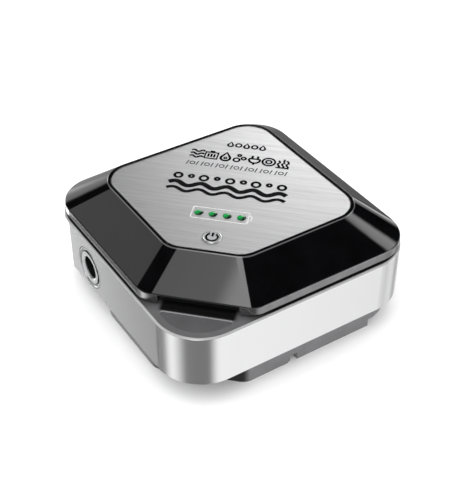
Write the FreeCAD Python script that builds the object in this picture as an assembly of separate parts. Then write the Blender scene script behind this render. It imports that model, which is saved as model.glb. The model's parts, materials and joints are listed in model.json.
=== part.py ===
"""Battery-backed aquarium air pump, in millimetres.

Origin: centre of the square footprint, on the surface the rubber feet stand on.
+Z is up.  The corner of the case at (-X, -Y) is the front: the cover is cut flat there, and
the power button and the four charge lamps are laid out along that diagonal.

A hinged lever carrying a magnet swings in front of an E-shaped core and works a rubber
diaphragm; two disc valves turn the strokes into flow towards the recessed outlet.
"""
import FreeCAD
import Part
import math
import os

# ---------------------------------------------------------------- driving dimensions
CASE_HALF = 48.0          # half the width of the metal band
CASE_R = 17.0             # band corner radius
BAND_BOTTOM = 10.3
BAND_TOP = 30.8
BAND_WALL = 0.8
BAND_BEVEL = 0.35
GLUE = 0.05               # gap between parts glued or slipped together

PLINTH_HALF = 44.2
PLINTH_R = 13.4
PLINTH_DIAGONAL = 46.5    # flat front corner of the plinth and feet, along the diagonal
PLINTH_BLEND = 5.0
WALL = 2.0                # moulded wall
FOOT_H = 3.0
FLOOR_TOP = FOOT_H + WALL
SPLIT_Z = 12.4            # where the base meets the mid shell

DECK_Z = 30.6
DECK_WALL = 2.4
DECK_OPEN_HALF = 36.0
DECK_OPEN_R = 9.0
DECK_OPEN_DIAGONAL = 41.8
LIP_HALF = 43.5           # raised lip that locates the cover's skirt
LIP_R = 10.7
LIP_DIAGONAL = 43.9
LIP_WALL = 1.6
LIP_H = 2.2
THUMB_INSET = 3.4         # thumb recess to the band's outer face
THUMB_DIAGONAL = 49.6     # straight edge of the thumb recess, along the diagonal
THUMB_DEPTH = 0.55

COVER_HALF = 46.8         # cover at its skirt
COVER_R = 14.0
COVER_DIAGONAL = 47.2     # flat front corner of the skirt, along the diagonal
SKIRT_BOTTOM = 31.6
SKIRT_TOP = 34.7
RIM_HALF = 33.9           # cover at its rim
RIM_R = 10.5
RIM_DIAGONAL = 34.8
RIM_TOP = 45.15
RIM_BEVEL = 0.25
SKIRT_BEVEL = 0.2         # height of the bevel below and above the skirt's edge
BLEND_R = 8.0             # rounding between the flat corner and its neighbours
COVER_INSET = 3.0         # horizontal wall thickness of the sloping cover
PANEL_BOTTOM = 42.2
NOTCH_DEPTH = 1.6
NOTCH_HALF = 13.5

PLATE_HALF = 32.7
PLATE_R = 9.4
PLATE_DIAGONAL = 33.6
PLATE_TOP = 45.0
PLATE_T = 0.8
PLATE_BOTTOM = PLATE_TOP - PLATE_T

PORT_Z = 19.8             # axis of both side ports
JACK_Y = 16.8
OUTLET_Y = 24.0
PORT_HOLE_R = 4.3
PORT_TUBE_R = 6.05
PORT_FLANGE_R = 8.0
PORT_SEAT = 6.6           # half-width of the square flange behind each port
GUIDE_T = 1.4             # wall of the ribs that hold that flange
SHELL_HALF = CASE_HALF - BAND_WALL - GLUE
SHELL_R = CASE_R - BAND_WALL - GLUE
SHELL_IN = SHELL_HALF - WALL - GLUE      # inner face of the mid shell

BUTTON_XY = 19.0          # button centre is at (-19, -19)
BUTTON_R = 3.35
LAMP_XY = 10.2            # middle of the lamp row is at (-10.2, -10.2)
LAMP_PITCH = 4.92
LAMP_R = 1.45

BOARD_TOP = 37.2
BOARD_T = 1.6
BOARD_BOTTOM = BOARD_TOP - BOARD_T
BOARD_LOW = -31.0
BOARD_HIGH = 7.0
BOARD_POSTS = [(3.5, 3.5), (-27.5, 3.5), (3.5, -27.5), (-27.0, -16.0)]

COLUMN_XY = 36.0          # case screw columns at the four corners
COLUMN_R = 3.4
COLUMN_BOTTOM = 8.0
COVER_SCREW_XY = 39.5     # cover screws at the middle of each side
COVER_POST_R = 2.8
BOARD_POST_R = 2.4

CELL_R = 9.1
CELL_LENGTH = 50.0
CELL_Y = -24.2
CELL_Z = 17.4
CRADLE_BOTTOM = 7.0
CRADLE_END = 25.8         # inner face of the cradle's end walls
CRADLE_R = 10.6
CRADLE_SCREWS = [(-18.0, -37.0), (18.0, -37.0)]

FILTER_X = 27.0           # intake filter, under the base floor
FILTER_Y = 3.5
FILTER_R = 9.05
FELT_R = 7.8
FELT_T = 2.8
SLOT_HALF = 0.8           # half-width of the filter cap's air slots
GRID_HALF = 1.0           # half-width of the openings in the filter grid

FRAME_Z0 = 8.6            # pump frame base plate
FRAME_Z1 = 10.6
FRAME_LEFT = -28.5
FRAME_RIGHT = 17.5
FRAME_FRONT = -14.5
FRAME_BACK = 41.0
FRAME_TOP = 32.6
GROMMET_H = 5.2
GROMMETS = [(-21.0, -10.5), (22.5, -10.5), (-24.5, 36.0), (13.0, 36.0)]

LEVER_X = -6.0            # middle plane of the lever, also the core's middle
HINGE_Y = -9.0
PUMP_Z = 21.4             # axis height of diaphragm, magnet and core
PUMP_Y = 3.0              # diaphragm axis
LEVER_T = 3.0
HINGE_R = 1.5
RUN = 0.05                # running clearance of the hinge and valve pins

BLOCK = 10.8              # half-width of the square pump stack
STACK_SCREW = 8.8
BULKHEAD_X = -2.6
CLAMP_X = -0.6
BODY_X = 1.0
VALVE_X = 6.0
GASKET_X = 8.5
CAP_X = 9.1
CAP_END = 16.6
CHAMBER_R = 8.0
VALVE_OFFSET = 4.3
VALVE_R = 3.4
VALVE_T = 0.7
VALVE_LIFT = 0.6
VALVE_PIN_R = 0.7

POLE_Y = 20.2             # face of the three poles
CORE_HALF = 14.0
CORE_STACK = 10.0
CORE_LENGTH = 20.5
LIMB = 4.5
CENTRE_LIMB = 9.0
YOKE = 5.0
CORE_SCREW_Y = 38.2
CORE_SCREW_R = 1.4

HOSE_R = 3.4
HOSE_BORE_R = 2.35
SPIGOT_R = 2.3
SPIGOT_X = 12.1
HOSE_BEND_R = 6.0
NOZZLE_R = 2.4
NOZZLE_BORE_R = 1.3

LEAD_R = 0.6
LEAD_OFFSET = 1.2         # each lead of a pair, from the middle of its header

UP = FreeCAD.Vector(0, 0, 1)
DOWN = FreeCAD.Vector(0, 0, -1)
EAST = FreeCAD.Vector(1, 0, 0)
WEST = FreeCAD.Vector(-1, 0, 0)
NORTH = FreeCAD.Vector(0, 1, 0)


# ---------------------------------------------------------------- shape helpers
def vec(x, y, z):
    return FreeCAD.Vector(x, y, z)


def block(x0, x1, y0, y1, z0, z1):
    return Part.makeBox(x1 - x0, y1 - y0, z1 - z0, vec(x0, y0, z0))


def rod(radius, length, base, axis=UP):
    return Part.makeCylinder(radius, length, base, axis)


def pipe(outer, inner, length, base, axis=UP):
    return rod(outer, length, base, axis).cut(rod(inner, length, base, axis))


def join(shapes):
    result = shapes[0]
    for shape in shapes[1:]:
        result = result.fuse(shape)
    return result.removeSplitter()


def cut_all(shape, tools):
    for tool in tools:
        shape = shape.cut(tool)
    return shape


def rounded_wire(points, radii, z):
    """Closed wire through the points at height z, each corner rounded by its own radius."""
    starts = []
    arcs = []
    count = len(points)
    for index in range(count):
        corner = vec(points[index][0], points[index][1], z)
        before = vec(points[index - 1][0], points[index - 1][1], z)
        after = vec(points[(index + 1) % count][0], points[(index + 1) % count][1], z)
        back = (before - corner).normalize()
        ahead = (after - corner).normalize()
        half_angle = back.getAngle(ahead) / 2
        radius = radii[index]
        run = radius / math.tan(half_angle)
        bisector = (back + ahead).normalize()
        centre = corner + bisector * (radius / math.sin(half_angle))
        middle = centre - bisector * radius
        starts.append(corner + back * run)
        arcs.append(Part.Arc(corner + back * run, middle, corner + ahead * run))
    edges = []
    for index in range(count):
        arc = arcs[index].toShape()
        edges.append(arc)
        edges.append(Part.LineSegment(arcs[index].EndPoint, starts[(index + 1) % count]).toShape())
    return Part.Wire(edges)


def square_wire(half, radius, z):
    points = [(-half, -half), (half, -half), (half, half), (-half, half)]
    return rounded_wire(points, [radius] * 4, z)


def front_cut_wire(half, radius, diagonal, z, blend=BLEND_R):
    """Rounded square whose front corner is cut flat at a distance along the diagonal."""
    leg = 2 * half - diagonal * math.sqrt(2)
    points = [(-half, -half + leg), (-half + leg, -half), (half, -half), (half, half),
              (-half, half)]
    return rounded_wire(points, [blend, blend, radius, radius, radius], z)


def prism(wire, height):
    return Part.Face(wire).extrude(vec(0, 0, height))


def frustum(lower, upper):
    return Part.makeLoft([lower, upper], True, True)


def turned(profile, base, axis, side=UP):
    """Solid of revolution about an axis; the profile is a closed list of (along, radius)."""
    points = [base + axis * along + side * radius for along, radius in profile]
    return Part.Face(Part.makePolygon(points + [points[0]])).revolve(base, axis, 360)


def diagonal_block(near, far, half_width, z0, z1):
    """Block square to the front diagonal, from one diagonal distance to another."""
    shape = block(-far, -near, -half_width, half_width, z0, z1)
    shape.rotate(vec(0, 0, 0), UP, 45)
    return shape


def corners(distance):
    return [(sx * distance, sy * distance) for sx in (-1, 1) for sy in (-1, 1)]


def screw(head_r, head_h, shank_r, length, seat, axis):
    """Pan-head screw with a cross recess; seat is the point under the head."""
    head = rod(head_r, head_h, seat - axis * head_h, axis)
    shank = rod(shank_r, length, seat, axis)
    recess = Part.makeCone(head_r * 0.45, head_r * 0.15, head_h * 0.6, seat - axis * head_h, axis)
    return join([head, shank]).cut(recess)


def lead(points, radius):
    """Round wire through the points, each bend eased by a tangent arc."""
    route = [vec(*point) for point in points]
    edges = []
    start = route[0]
    for index in range(1, len(route) - 1):
        corner = route[index]
        back = route[index - 1] - corner
        ahead = route[index + 1] - corner
        shorter = min(back.Length, ahead.Length)
        back.normalize()
        ahead.normalize()
        half_angle = back.getAngle(ahead) / 2
        run = 0.45 * shorter
        bend = run * math.tan(half_angle)
        bisector = (back + ahead).normalize()
        middle = corner + bisector * (bend / math.sin(half_angle) - bend)
        edges.append(Part.LineSegment(start, corner + back * run).toShape())
        edges.append(Part.Arc(corner + back * run, middle, corner + ahead * run).toShape())
        start = corner + ahead * run
    edges.append(Part.LineSegment(start, route[-1]).toShape())
    path = Part.Wire(edges)
    direction = route[1] - route[0]
    section = Part.Wire(Part.Circle(route[0], direction, radius).toShape())
    return path.makePipeShell([section], True, True)


def save(name, solids):
    shape = solids if isinstance(solids, Part.Shape) else Part.makeCompound(solids)
    shape.exportStep(os.path.join("parts", name + ".step"))


# ---------------------------------------------------------------- case
FOOT_WIDTH = 7.0
FOOT_FRONT_END = -3.3     # front foot's end on the -Y side; the next foot starts after a gap
FOOT_GAP = 3.0
FOOT_LEFT_END = 11.2      # front foot's end on the -X side
FOOT_SIDE_END = 34.0      # side foot's end near the corner
FOOT_END_R = 1.4          # rounding under the front foot's ends
FOOT_PEG_R = 1.5
FOOT_PEG_H = 1.0
FOOT_PEGS = [(-9.0, -40.7), (20.0, -40.7)]
CASE_SCREW_SEAT = 5.2     # the front corner's screw sits higher, against the flange
CASE_SCREW_WAY_R = 3.0    # way in for the screw's head
FILTER_CAP_T = 1.6


def turned_copies(shape):
    """The shape at each of the four sides of the case."""
    copies = []
    for quarter in range(4):
        copy = shape.copy()
        copy.rotate(vec(0, 0, 0), UP, 90 * quarter)
        copies.append(copy)
    return copies


def plinth_wire(inset, z):
    """Outline of the plinth, or the same outline drawn in by a distance."""
    return front_cut_wire(PLINTH_HALF - inset, PLINTH_R - inset, PLINTH_DIAGONAL - inset, z,
                          PLINTH_BLEND - min(inset, 3.0))


def case_screw_places():
    """Place, seat height and column foot of each case screw; the front one clears the cut."""
    places = []
    for x, y in corners(COLUMN_XY):
        front = x < 0 and y < 0
        places.append((x, y, BAND_BOTTOM if front else CASE_SCREW_SEAT,
                       SPLIT_Z if front else COLUMN_BOTTOM))
    return places


def foot_ends_rounded(foot, ends):
    """Rounds the lower edge of a foot at the given end planes, each (axis, value)."""
    def chosen(edge):
        points = [vertex.Point for vertex in edge.Vertexes]
        if any(abs(point.z) > 1e-6 for point in points):
            return False
        return any(all(abs(point[axis] - value) < 1e-6 for point in points)
                   for axis, value in ends)

    return foot.makeFillet(FOOT_END_R, [edge for edge in foot.Edges if chosen(edge)])


def rubber_feet():
    """Two long corner feet and two straight ones; the gaps between them let the intake breathe."""
    reach = PLINTH_HALF + 1
    inner = PLINTH_HALF - PLINTH_R
    ring = prism(plinth_wire(0, 0), FOOT_H).cut(prism(plinth_wire(FOOT_WIDTH, 0), FOOT_H))
    short_gap = block(FOOT_FRONT_END, FOOT_FRONT_END + FOOT_GAP, -reach, -inner, 0, FOOT_H)
    left_gap = block(-reach, -inner, FOOT_LEFT_END, reach, 0, FOOT_H)
    left_gap = left_gap.fuse(block(-reach, -FOOT_SIDE_END, inner, reach, 0, FOOT_H))
    gaps = []
    for gap in (short_gap, left_gap):
        opposite = gap.copy()
        opposite.rotate(vec(0, 0, 0), UP, 180)
        gaps += [gap, opposite]
    ways = [rod(CASE_SCREW_WAY_R, FOOT_H, vec(x, y, 0)) for x, y in corners(COLUMN_XY)]
    ring = cut_all(ring, gaps + ways)
    ends = [(0, FOOT_FRONT_END), (1, FOOT_LEFT_END), (0, -FOOT_FRONT_END), (1, -FOOT_LEFT_END)]
    pegs = []
    for x, y in FOOT_PEGS:
        pegs += turned_copies(rod(FOOT_PEG_R, FOOT_PEG_H, vec(x, y, FOOT_H)))
    pads = []
    for solid in ring.Solids:
        own = [peg for peg in pegs if peg.distToShape(solid)[0] < 1e-6]
        rounded = foot_ends_rounded(solid, ends) if len(own) > 2 else solid
        pads.append(join([rounded] + own))
    return pads


def slot_row(count, pitch, reach):
    """Offset and half-length of each slot in a row that fills a circle."""
    offsets = [(index - (count - 1) / 2) * pitch for index in range(count)]
    return [(offset, math.sqrt(reach ** 2 - offset ** 2)) for offset in offsets]


def filter_housing():
    """Ring and grid standing on the base floor over the intake hole."""
    centre = vec(FILTER_X, FILTER_Y, FLOOR_TOP)
    outer = FILTER_R + 1.95
    height = 3.4
    grid_t = 1.0
    ring = pipe(outer, FILTER_R + 0.85, height, centre)
    grid = rod(outer, grid_t, centre + UP * (height - grid_t))
    for offset, half in slot_row(5, 3.4, FILTER_R - 0.25):
        x = FILTER_X + offset
        grid = grid.cut(block(x - GRID_HALF, x + GRID_HALF, FILTER_Y - half, FILTER_Y + half,
                              FLOOR_TOP, SPLIT_Z))
    return join([ring, grid])


def base_pan():
    """Set-in tray with a flange that carries the mid shell and the band."""
    height = SPLIT_Z - FOOT_H
    tray = prism(plinth_wire(0, FOOT_H), height)
    flange = prism(square_wire(SHELL_HALF, SHELL_R, BAND_BOTTOM), SPLIT_Z - BAND_BOTTOM)
    inside = prism(plinth_wire(WALL, FLOOR_TOP), height)
    pan = join([tray, flange]).cut(inside)
    bosses = [rod(4.6, foot_z - FLOOR_TOP, vec(x, y, FLOOR_TOP))
              for x, y, seat_z, foot_z in case_screw_places() if seat_z < BAND_BOTTOM]
    bosses += [rod(3.2, CRADLE_BOTTOM - FLOOR_TOP, vec(x, y, FLOOR_TOP)) for x, y in GROMMETS]
    bosses += [rod(2.6, CRADLE_BOTTOM - FLOOR_TOP, vec(x, y, FLOOR_TOP)) for x, y in CRADLE_SCREWS]
    pan = join([pan] + bosses + [filter_housing()])
    pilot_z = FOOT_H + 0.6
    holes = []
    for x, y, seat_z, foot_z in case_screw_places():
        holes.append(rod(CASE_SCREW_WAY_R, seat_z - FOOT_H, vec(x, y, FOOT_H)))
        holes.append(rod(1.7, foot_z - FOOT_H, vec(x, y, FOOT_H)))
    for x, y in GROMMETS:
        holes.append(rod(1.5, CRADLE_BOTTOM - pilot_z, vec(x, y, pilot_z)))
    for x, y in CRADLE_SCREWS:
        holes.append(rod(1.25, CRADLE_BOTTOM - pilot_z, vec(x, y, pilot_z)))
    for x, y in FOOT_PEGS:
        holes += turned_copies(rod(FOOT_PEG_R + GLUE, FOOT_PEG_H + 0.1, vec(x, y, FOOT_H)))
    holes.append(rod(FILTER_R + 0.1, WALL, vec(FILTER_X, FILTER_Y, FOOT_H)))
    lug_way = FILTER_R + 0.75
    holes.append(block(FILTER_X - lug_way, FILTER_X + lug_way, FILTER_Y - 2.4, FILTER_Y + 2.4,
                       FOOT_H, FLOOR_TOP))
    return cut_all(pan, holes)


def filter_cap():
    """Quarter-turn cap with air slots; its two lugs hold behind the base floor."""
    centre = vec(FILTER_X, FILTER_Y, FOOT_H)
    disc = rod(FILTER_R, FILTER_CAP_T, centre)
    skirt = pipe(8.7, FELT_R + 0.1, 1.4, centre + UP * FILTER_CAP_T)
    lugs = []
    for side in (-1, 1):
        lug_y = FILTER_Y + side * 9.0
        lugs.append(block(FILTER_X - 2.0, FILTER_X + 2.0, lug_y - 0.6, lug_y + 0.6,
                          FLOOR_TOP + 0.1, FLOOR_TOP + 1.0))
    cap = join([disc, skirt] + lugs)
    for offset, half in slot_row(5, 3.0, FELT_R - 0.4):
        y = FILTER_Y + offset
        cap = cap.cut(block(FILTER_X - half, FILTER_X + half, y - SLOT_HALF, y + SLOT_HALF,
                            FOOT_H, FOOT_H + FILTER_CAP_T))
    return cap


def intake_felt():
    return rod(FELT_R, FELT_T, vec(FILTER_X, FILTER_Y, FOOT_H + FILTER_CAP_T))


def thumb_recess():
    """Shallow D-shaped pocket in the deck, straight along the front diagonal."""
    pocket = prism(square_wire(CASE_HALF - THUMB_INSET, CASE_R - THUMB_INSET,
                               DECK_Z - THUMB_DEPTH), 5.0)
    pocket = pocket.common(diagonal_block(THUMB_DIAGONAL, 70, 40, 0, 60))
    straight = THUMB_DIAGONAL * math.sqrt(2)

    def is_end(edge):
        low, high = edge.Vertexes[0].Point, edge.Vertexes[-1].Point
        upright = abs(low.x - high.x) < 1e-4 and abs(low.y - high.y) < 1e-4
        return upright and abs(low.x + low.y + straight) < 1e-2

    return pocket.makeFillet(1.0, [edge for edge in pocket.Edges if is_end(edge)])


def mid_shell():
    """Dark shell behind the band; its top is the deck that the cover stands on."""
    ceiling = DECK_Z - DECK_WALL
    shell = prism(square_wire(SHELL_HALF, SHELL_R, SPLIT_Z), DECK_Z - SPLIT_Z)
    hollow = prism(square_wire(SHELL_IN, SHELL_R - WALL, SPLIT_Z), ceiling - SPLIT_Z)
    opening = prism(front_cut_wire(DECK_OPEN_HALF, DECK_OPEN_R, DECK_OPEN_DIAGONAL, SPLIT_Z, 4.0),
                    DECK_Z)
    shell = cut_all(shell, [hollow, opening, thumb_recess()])
    lip = prism(front_cut_wire(LIP_HALF, LIP_R, LIP_DIAGONAL, DECK_Z), LIP_H)
    lip = lip.cut(prism(front_cut_wire(LIP_HALF - LIP_WALL, LIP_R - LIP_WALL,
                                       LIP_DIAGONAL - LIP_WALL, DECK_Z), LIP_H))
    lip = cut_all(lip, [rod(COVER_POST_R + 0.5, LIP_H, vec(x, y, DECK_Z))
                        for x, y in cover_screw_places()])
    supports = []
    for x, y, _, foot_z in case_screw_places():
        supports.append(rod(COLUMN_R, ceiling - foot_z, vec(x, y, foot_z)))
        rib = block(COLUMN_XY * math.sqrt(2), 58.8, -1.0, 1.0, SPLIT_Z, ceiling)
        rib.rotate(vec(0, 0, 0), UP, math.degrees(math.atan2(y, x)))
        supports.append(rib)
    for x_side, y in ((-1, JACK_Y), (1, OUTLET_Y)):
        x_in, x_out = sorted((x_side * 40.0, x_side * (SHELL_IN + 0.5)))
        for y0 in (y - PORT_SEAT - 0.3 - GUIDE_T, y + PORT_SEAT + 0.3):
            supports.append(block(x_in, x_out, y0, y0 + GUIDE_T, SPLIT_Z, 27.0))
    shell = join([shell, lip] + supports)
    holes = [rod(1.5, 12.0, vec(x, y, foot_z)) for x, y, _, foot_z in case_screw_places()]
    holes += [rod(1.35, DECK_WALL + 4.0, vec(x, y, ceiling)) for x, y in cover_screw_places()]
    holes.append(rod(PORT_TUBE_R + GLUE, 4.0, vec(-CASE_HALF, JACK_Y, PORT_Z), EAST))
    holes.append(rod(PORT_TUBE_R + GLUE, 4.0, vec(CASE_HALF, OUTLET_Y, PORT_Z), WEST))
    return cut_all(shell, holes)


def side_band():
    """Metal band with fine bevels, pierced for the two ports."""
    low = BAND_BOTTOM
    high = BAND_TOP
    small = CASE_HALF - BAND_BEVEL
    small_r = CASE_R - BAND_BEVEL
    bottom = frustum(square_wire(small, small_r, low),
                     square_wire(CASE_HALF, CASE_R, low + BAND_BEVEL))
    middle = prism(square_wire(CASE_HALF, CASE_R, low + BAND_BEVEL), high - low - 2 * BAND_BEVEL)
    top = frustum(square_wire(CASE_HALF, CASE_R, high - BAND_BEVEL),
                  square_wire(small, small_r, high))
    inside = prism(square_wire(CASE_HALF - BAND_WALL, CASE_R - BAND_WALL, low), high - low)
    band = join([bottom, middle, top]).cut(inside)
    band = band.cut(rod(PORT_FLANGE_R + GLUE, 4.0, vec(-CASE_HALF - 1, JACK_Y, PORT_Z), EAST))
    return band.cut(rod(PORT_FLANGE_R + GLUE, 4.0, vec(CASE_HALF + 1, OUTLET_Y, PORT_Z), WEST))


def cover_screw_places():
    return [(COVER_SCREW_XY, 0), (-COVER_SCREW_XY, 0), (0, COVER_SCREW_XY), (0, -COVER_SCREW_XY)]


def lamp_places():
    step = LAMP_PITCH / math.sqrt(2)
    return [(-LAMP_XY + (index - 1.5) * step, -LAMP_XY - (index - 1.5) * step)
            for index in range(4)]


def cover_outer():
    """Skirt, sloping faces and rim of the cover as one solid, with the skirt's edge bevelled."""
    bevel_z = RIM_TOP - RIM_BEVEL
    share = SKIRT_BEVEL / (bevel_z - SKIRT_TOP)

    def down_slope(foot, head):
        return foot + share * (head - foot)

    skirt_size = (COVER_HALF, COVER_R, COVER_DIAGONAL)
    rim_size = (RIM_HALF + RIM_BEVEL, RIM_R + RIM_BEVEL, RIM_DIAGONAL + RIM_BEVEL)
    edge_size = tuple(down_slope(foot, head) for foot, head in zip(skirt_size, rim_size))
    edge_low = SKIRT_TOP - SKIRT_BEVEL
    edge_high = SKIRT_TOP + SKIRT_BEVEL
    skirt = prism(front_cut_wire(*skirt_size, SKIRT_BOTTOM), edge_low - SKIRT_BOTTOM)
    edge = frustum(front_cut_wire(*skirt_size, edge_low), front_cut_wire(*edge_size, edge_high))
    slope = frustum(front_cut_wire(*edge_size, edge_high), front_cut_wire(*rim_size, bevel_z))
    rim = frustum(front_cut_wire(*rim_size, bevel_z),
                  front_cut_wire(RIM_HALF, RIM_R, RIM_DIAGONAL, RIM_TOP))
    return join([skirt, edge, slope, rim])


def top_cover():
    """Glossy cover: skirt, sloping faces, rim round the face plate, and posts underneath."""
    outer = cover_outer()
    inset = COVER_INSET
    slope = (COVER_HALF - RIM_HALF) / (RIM_TOP - SKIRT_TOP)
    shrink = slope * (PANEL_BOTTOM - SKIRT_TOP)
    skirt_inside = (COVER_HALF - inset, COVER_R - inset, COVER_DIAGONAL - inset)
    lower = prism(front_cut_wire(*skirt_inside, SKIRT_BOTTOM), SKIRT_TOP - SKIRT_BOTTOM)
    upper = frustum(front_cut_wire(*skirt_inside, SKIRT_TOP),
                    front_cut_wire(COVER_HALF - inset - shrink, 7.5,
                                   COVER_DIAGONAL - inset - shrink, PANEL_BOTTOM))
    cover = outer.cut(join([lower, upper]))
    below_skirt = block(-CASE_HALF, CASE_HALF, -CASE_HALF, CASE_HALF, DECK_Z, SKIRT_TOP)
    posts = [rod(COVER_POST_R, PANEL_BOTTOM - DECK_Z, vec(x, y, DECK_Z))
             for x, y in cover_screw_places()]
    posts = [post.common(below_skirt.fuse(outer)) for post in posts]
    posts += [rod(BOARD_POST_R, PANEL_BOTTOM - BOARD_TOP + 0.2, vec(x, y, BOARD_TOP))
              for x, y in BOARD_POSTS]
    cover = join([cover] + posts)
    through = RIM_TOP - PANEL_BOTTOM + 2.0
    tools = [prism(front_cut_wire(PLATE_HALF + GLUE, PLATE_R, PLATE_DIAGONAL + GLUE, PLATE_BOTTOM),
                   through),
             diagonal_block(COVER_DIAGONAL - NOTCH_DEPTH, 60, NOTCH_HALF, SKIRT_BOTTOM,
                            SKIRT_TOP - 0.3)]
    tools += [rod(1.2, 6.5, vec(x, y, DECK_Z)) for x, y in cover_screw_places()]
    tools += [rod(1.0, 5.5, vec(x, y, BOARD_TOP)) for x, y in BOARD_POSTS]
    tools += [rod(LAMP_R + 0.2, through, vec(x, y, PANEL_BOTTOM - 1)) for x, y in lamp_places()]
    tools.append(rod(BUTTON_R + 0.15, through, vec(-BUTTON_XY, -BUTTON_XY, PANEL_BOTTOM - 1)))
    return cut_all(cover, tools)


def face_plate():
    """Brushed metal plate let into the cover's rim."""
    bevel = 0.15
    body = prism(front_cut_wire(PLATE_HALF, PLATE_R, PLATE_DIAGONAL, PLATE_BOTTOM), PLATE_T - bevel)
    edge = frustum(front_cut_wire(PLATE_HALF, PLATE_R, PLATE_DIAGONAL, PLATE_TOP - bevel),
                   front_cut_wire(PLATE_HALF - bevel, PLATE_R - bevel, PLATE_DIAGONAL - bevel,
                                  PLATE_TOP))
    holes = [rod(LAMP_R + 0.12, 5.0, vec(x, y, PLATE_BOTTOM - 1)) for x, y in lamp_places()]
    holes.append(rod(BUTTON_R + 0.1, 5.0, vec(-BUTTON_XY, -BUTTON_XY, PLATE_BOTTOM - 1)))
    return cut_all(join([body, edge]), holes)


def case_screws():
    return [screw(2.8, 1.8, 1.45, 13.0, vec(x, y, seat_z), UP)
            for x, y, seat_z, _ in case_screw_places()]


def cover_screws():
    seat = DECK_Z - DECK_WALL
    return [screw(2.4, 1.6, 1.15, 8.0, vec(x, y, seat), UP) for x, y in cover_screw_places()]


# ---------------------------------------------------------------- button, lamps and board
BUTTON_SEAT = 41.35       # underside of the button's flange, on the switch plunger
BUTTON_H = 4.0
BUTTON_FLANGE_R = 4.3
BUTTON_FLANGE_T = 0.8
SWITCH_HALF = 3.0
SWITCH_TOP = 40.7
PLUNGER_R = 1.7
PLUNGER_IN = 1.0          # plunger's length inside the switch
LAMP_BASE = 39.6
LAMP_DOME = 0.6           # dome above the face plate
LEG_OFFSET = 0.9


def power_button():
    """Round cap with a bevelled edge and a flange that keeps it behind the panel."""
    profile = [(0, 0), (0, BUTTON_FLANGE_R), (BUTTON_FLANGE_T, BUTTON_FLANGE_R),
               (BUTTON_FLANGE_T, BUTTON_R), (BUTTON_H - 0.3, BUTTON_R),
               (BUTTON_H, BUTTON_R - 0.45), (BUTTON_H - 0.15, BUTTON_R - 0.7),
               (BUTTON_H - 0.15, 0)]
    return turned(profile, vec(-BUTTON_XY, -BUTTON_XY, BUTTON_SEAT), UP, EAST)


def switch_body():
    low = -BUTTON_XY - SWITCH_HALF
    high = -BUTTON_XY + SWITCH_HALF
    depth = PLUNGER_IN + 0.5
    body = block(low, high, low, high, BOARD_TOP, SWITCH_TOP)
    return body.cut(rod(PLUNGER_R + RUN, depth, vec(-BUTTON_XY, -BUTTON_XY, SWITCH_TOP - depth)))


def switch_plunger():
    return rod(PLUNGER_R, BUTTON_SEAT - SWITCH_TOP + PLUNGER_IN,
               vec(-BUTTON_XY, -BUTTON_XY, SWITCH_TOP - PLUNGER_IN))


def lamp(x, y):
    """3 mm lamp on its two legs, with its dome just proud of the face plate."""
    dome_r = (LAMP_R ** 2 + LAMP_DOME ** 2) / (2 * LAMP_DOME)
    body = rod(LAMP_R, PLATE_TOP - LAMP_BASE, vec(x, y, LAMP_BASE))
    dome = Part.makeSphere(dome_r, vec(x, y, PLATE_TOP + LAMP_DOME - dome_r))
    dome = dome.common(rod(LAMP_R, LAMP_DOME + 1.0, vec(x, y, PLATE_TOP - 0.2)))
    flange = rod(LAMP_R + 0.35, 1.0, vec(x, y, LAMP_BASE))
    legs = [rod(0.25, LAMP_BASE + 0.1 - BOARD_TOP,
                vec(x + side * LEG_OFFSET, y - side * LEG_OFFSET, BOARD_TOP)) for side in (-1, 1)]
    return join([body, dome, flange] + legs)


def control_board():
    cut = 12.0
    points = [(BOARD_LOW, BOARD_LOW + cut), (BOARD_LOW + cut, BOARD_LOW), (BOARD_HIGH, BOARD_LOW),
              (BOARD_HIGH, BOARD_HIGH), (BOARD_LOW, BOARD_HIGH)]
    board = prism(rounded_wire(points, [1.0] * 5, BOARD_BOTTOM), BOARD_T)
    return cut_all(board, [rod(1.1, BOARD_T, vec(x, y, BOARD_BOTTOM)) for x, y in BOARD_POSTS])


def board_screws():
    return [screw(1.9, 1.4, 0.95, 5.6, vec(x, y, BOARD_BOTTOM), UP) for x, y in BOARD_POSTS]


CHIP_WIDTH = 4.0
CHIP_HEIGHT = 1.7


def chip(x, y, length):
    """Gull-wing package lying along X."""
    half = CHIP_WIDTH / 2
    body = block(x - length / 2, x + length / 2, y - half, y + half,
                 BOARD_TOP + 0.1, BOARD_TOP + CHIP_HEIGHT)
    feet = []
    pitch = 1.27
    pins = int(length / pitch)
    for index in range(pins):
        px = x + (index - (pins - 1) / 2) * pitch
        feet.append(block(px - 0.2, px + 0.2, y - half - 1.0, y + half + 1.0,
                          BOARD_TOP, BOARD_TOP + 0.4))
    return join([body] + feet)


def smoothing_capacitor():
    radius = 2.5
    base = vec(-22.0, 0.0, BOARD_TOP)
    return rod(radius, 4.6, base).cut(pipe(radius + 0.1, radius - 0.2, 0.3, base + UP * 0.7))


def boost_inductor():
    """Square ferrite block with its winding window round the middle."""
    x, y = -26.5, -7.5
    half = 2.6
    body = block(x - half, x + half, y - half, y + half, BOARD_TOP, BOARD_TOP + 3.0)
    return body.cut(pipe(half + 1.4, half - 0.8, 1.2, vec(x, y, BOARD_TOP + 0.9)))


HEADERS = [(-27.0, -1.5), (-16.5, 3.0), (-8.0, -27.0)]     # jack, coil, battery
HEADER_BOTTOM = 31.0


def lead_headers():
    return [block(x - 2.6, x + 2.6, y - 2.0, y + 2.0, HEADER_BOTTOM, BOARD_BOTTOM)
            for x, y in HEADERS]


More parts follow.
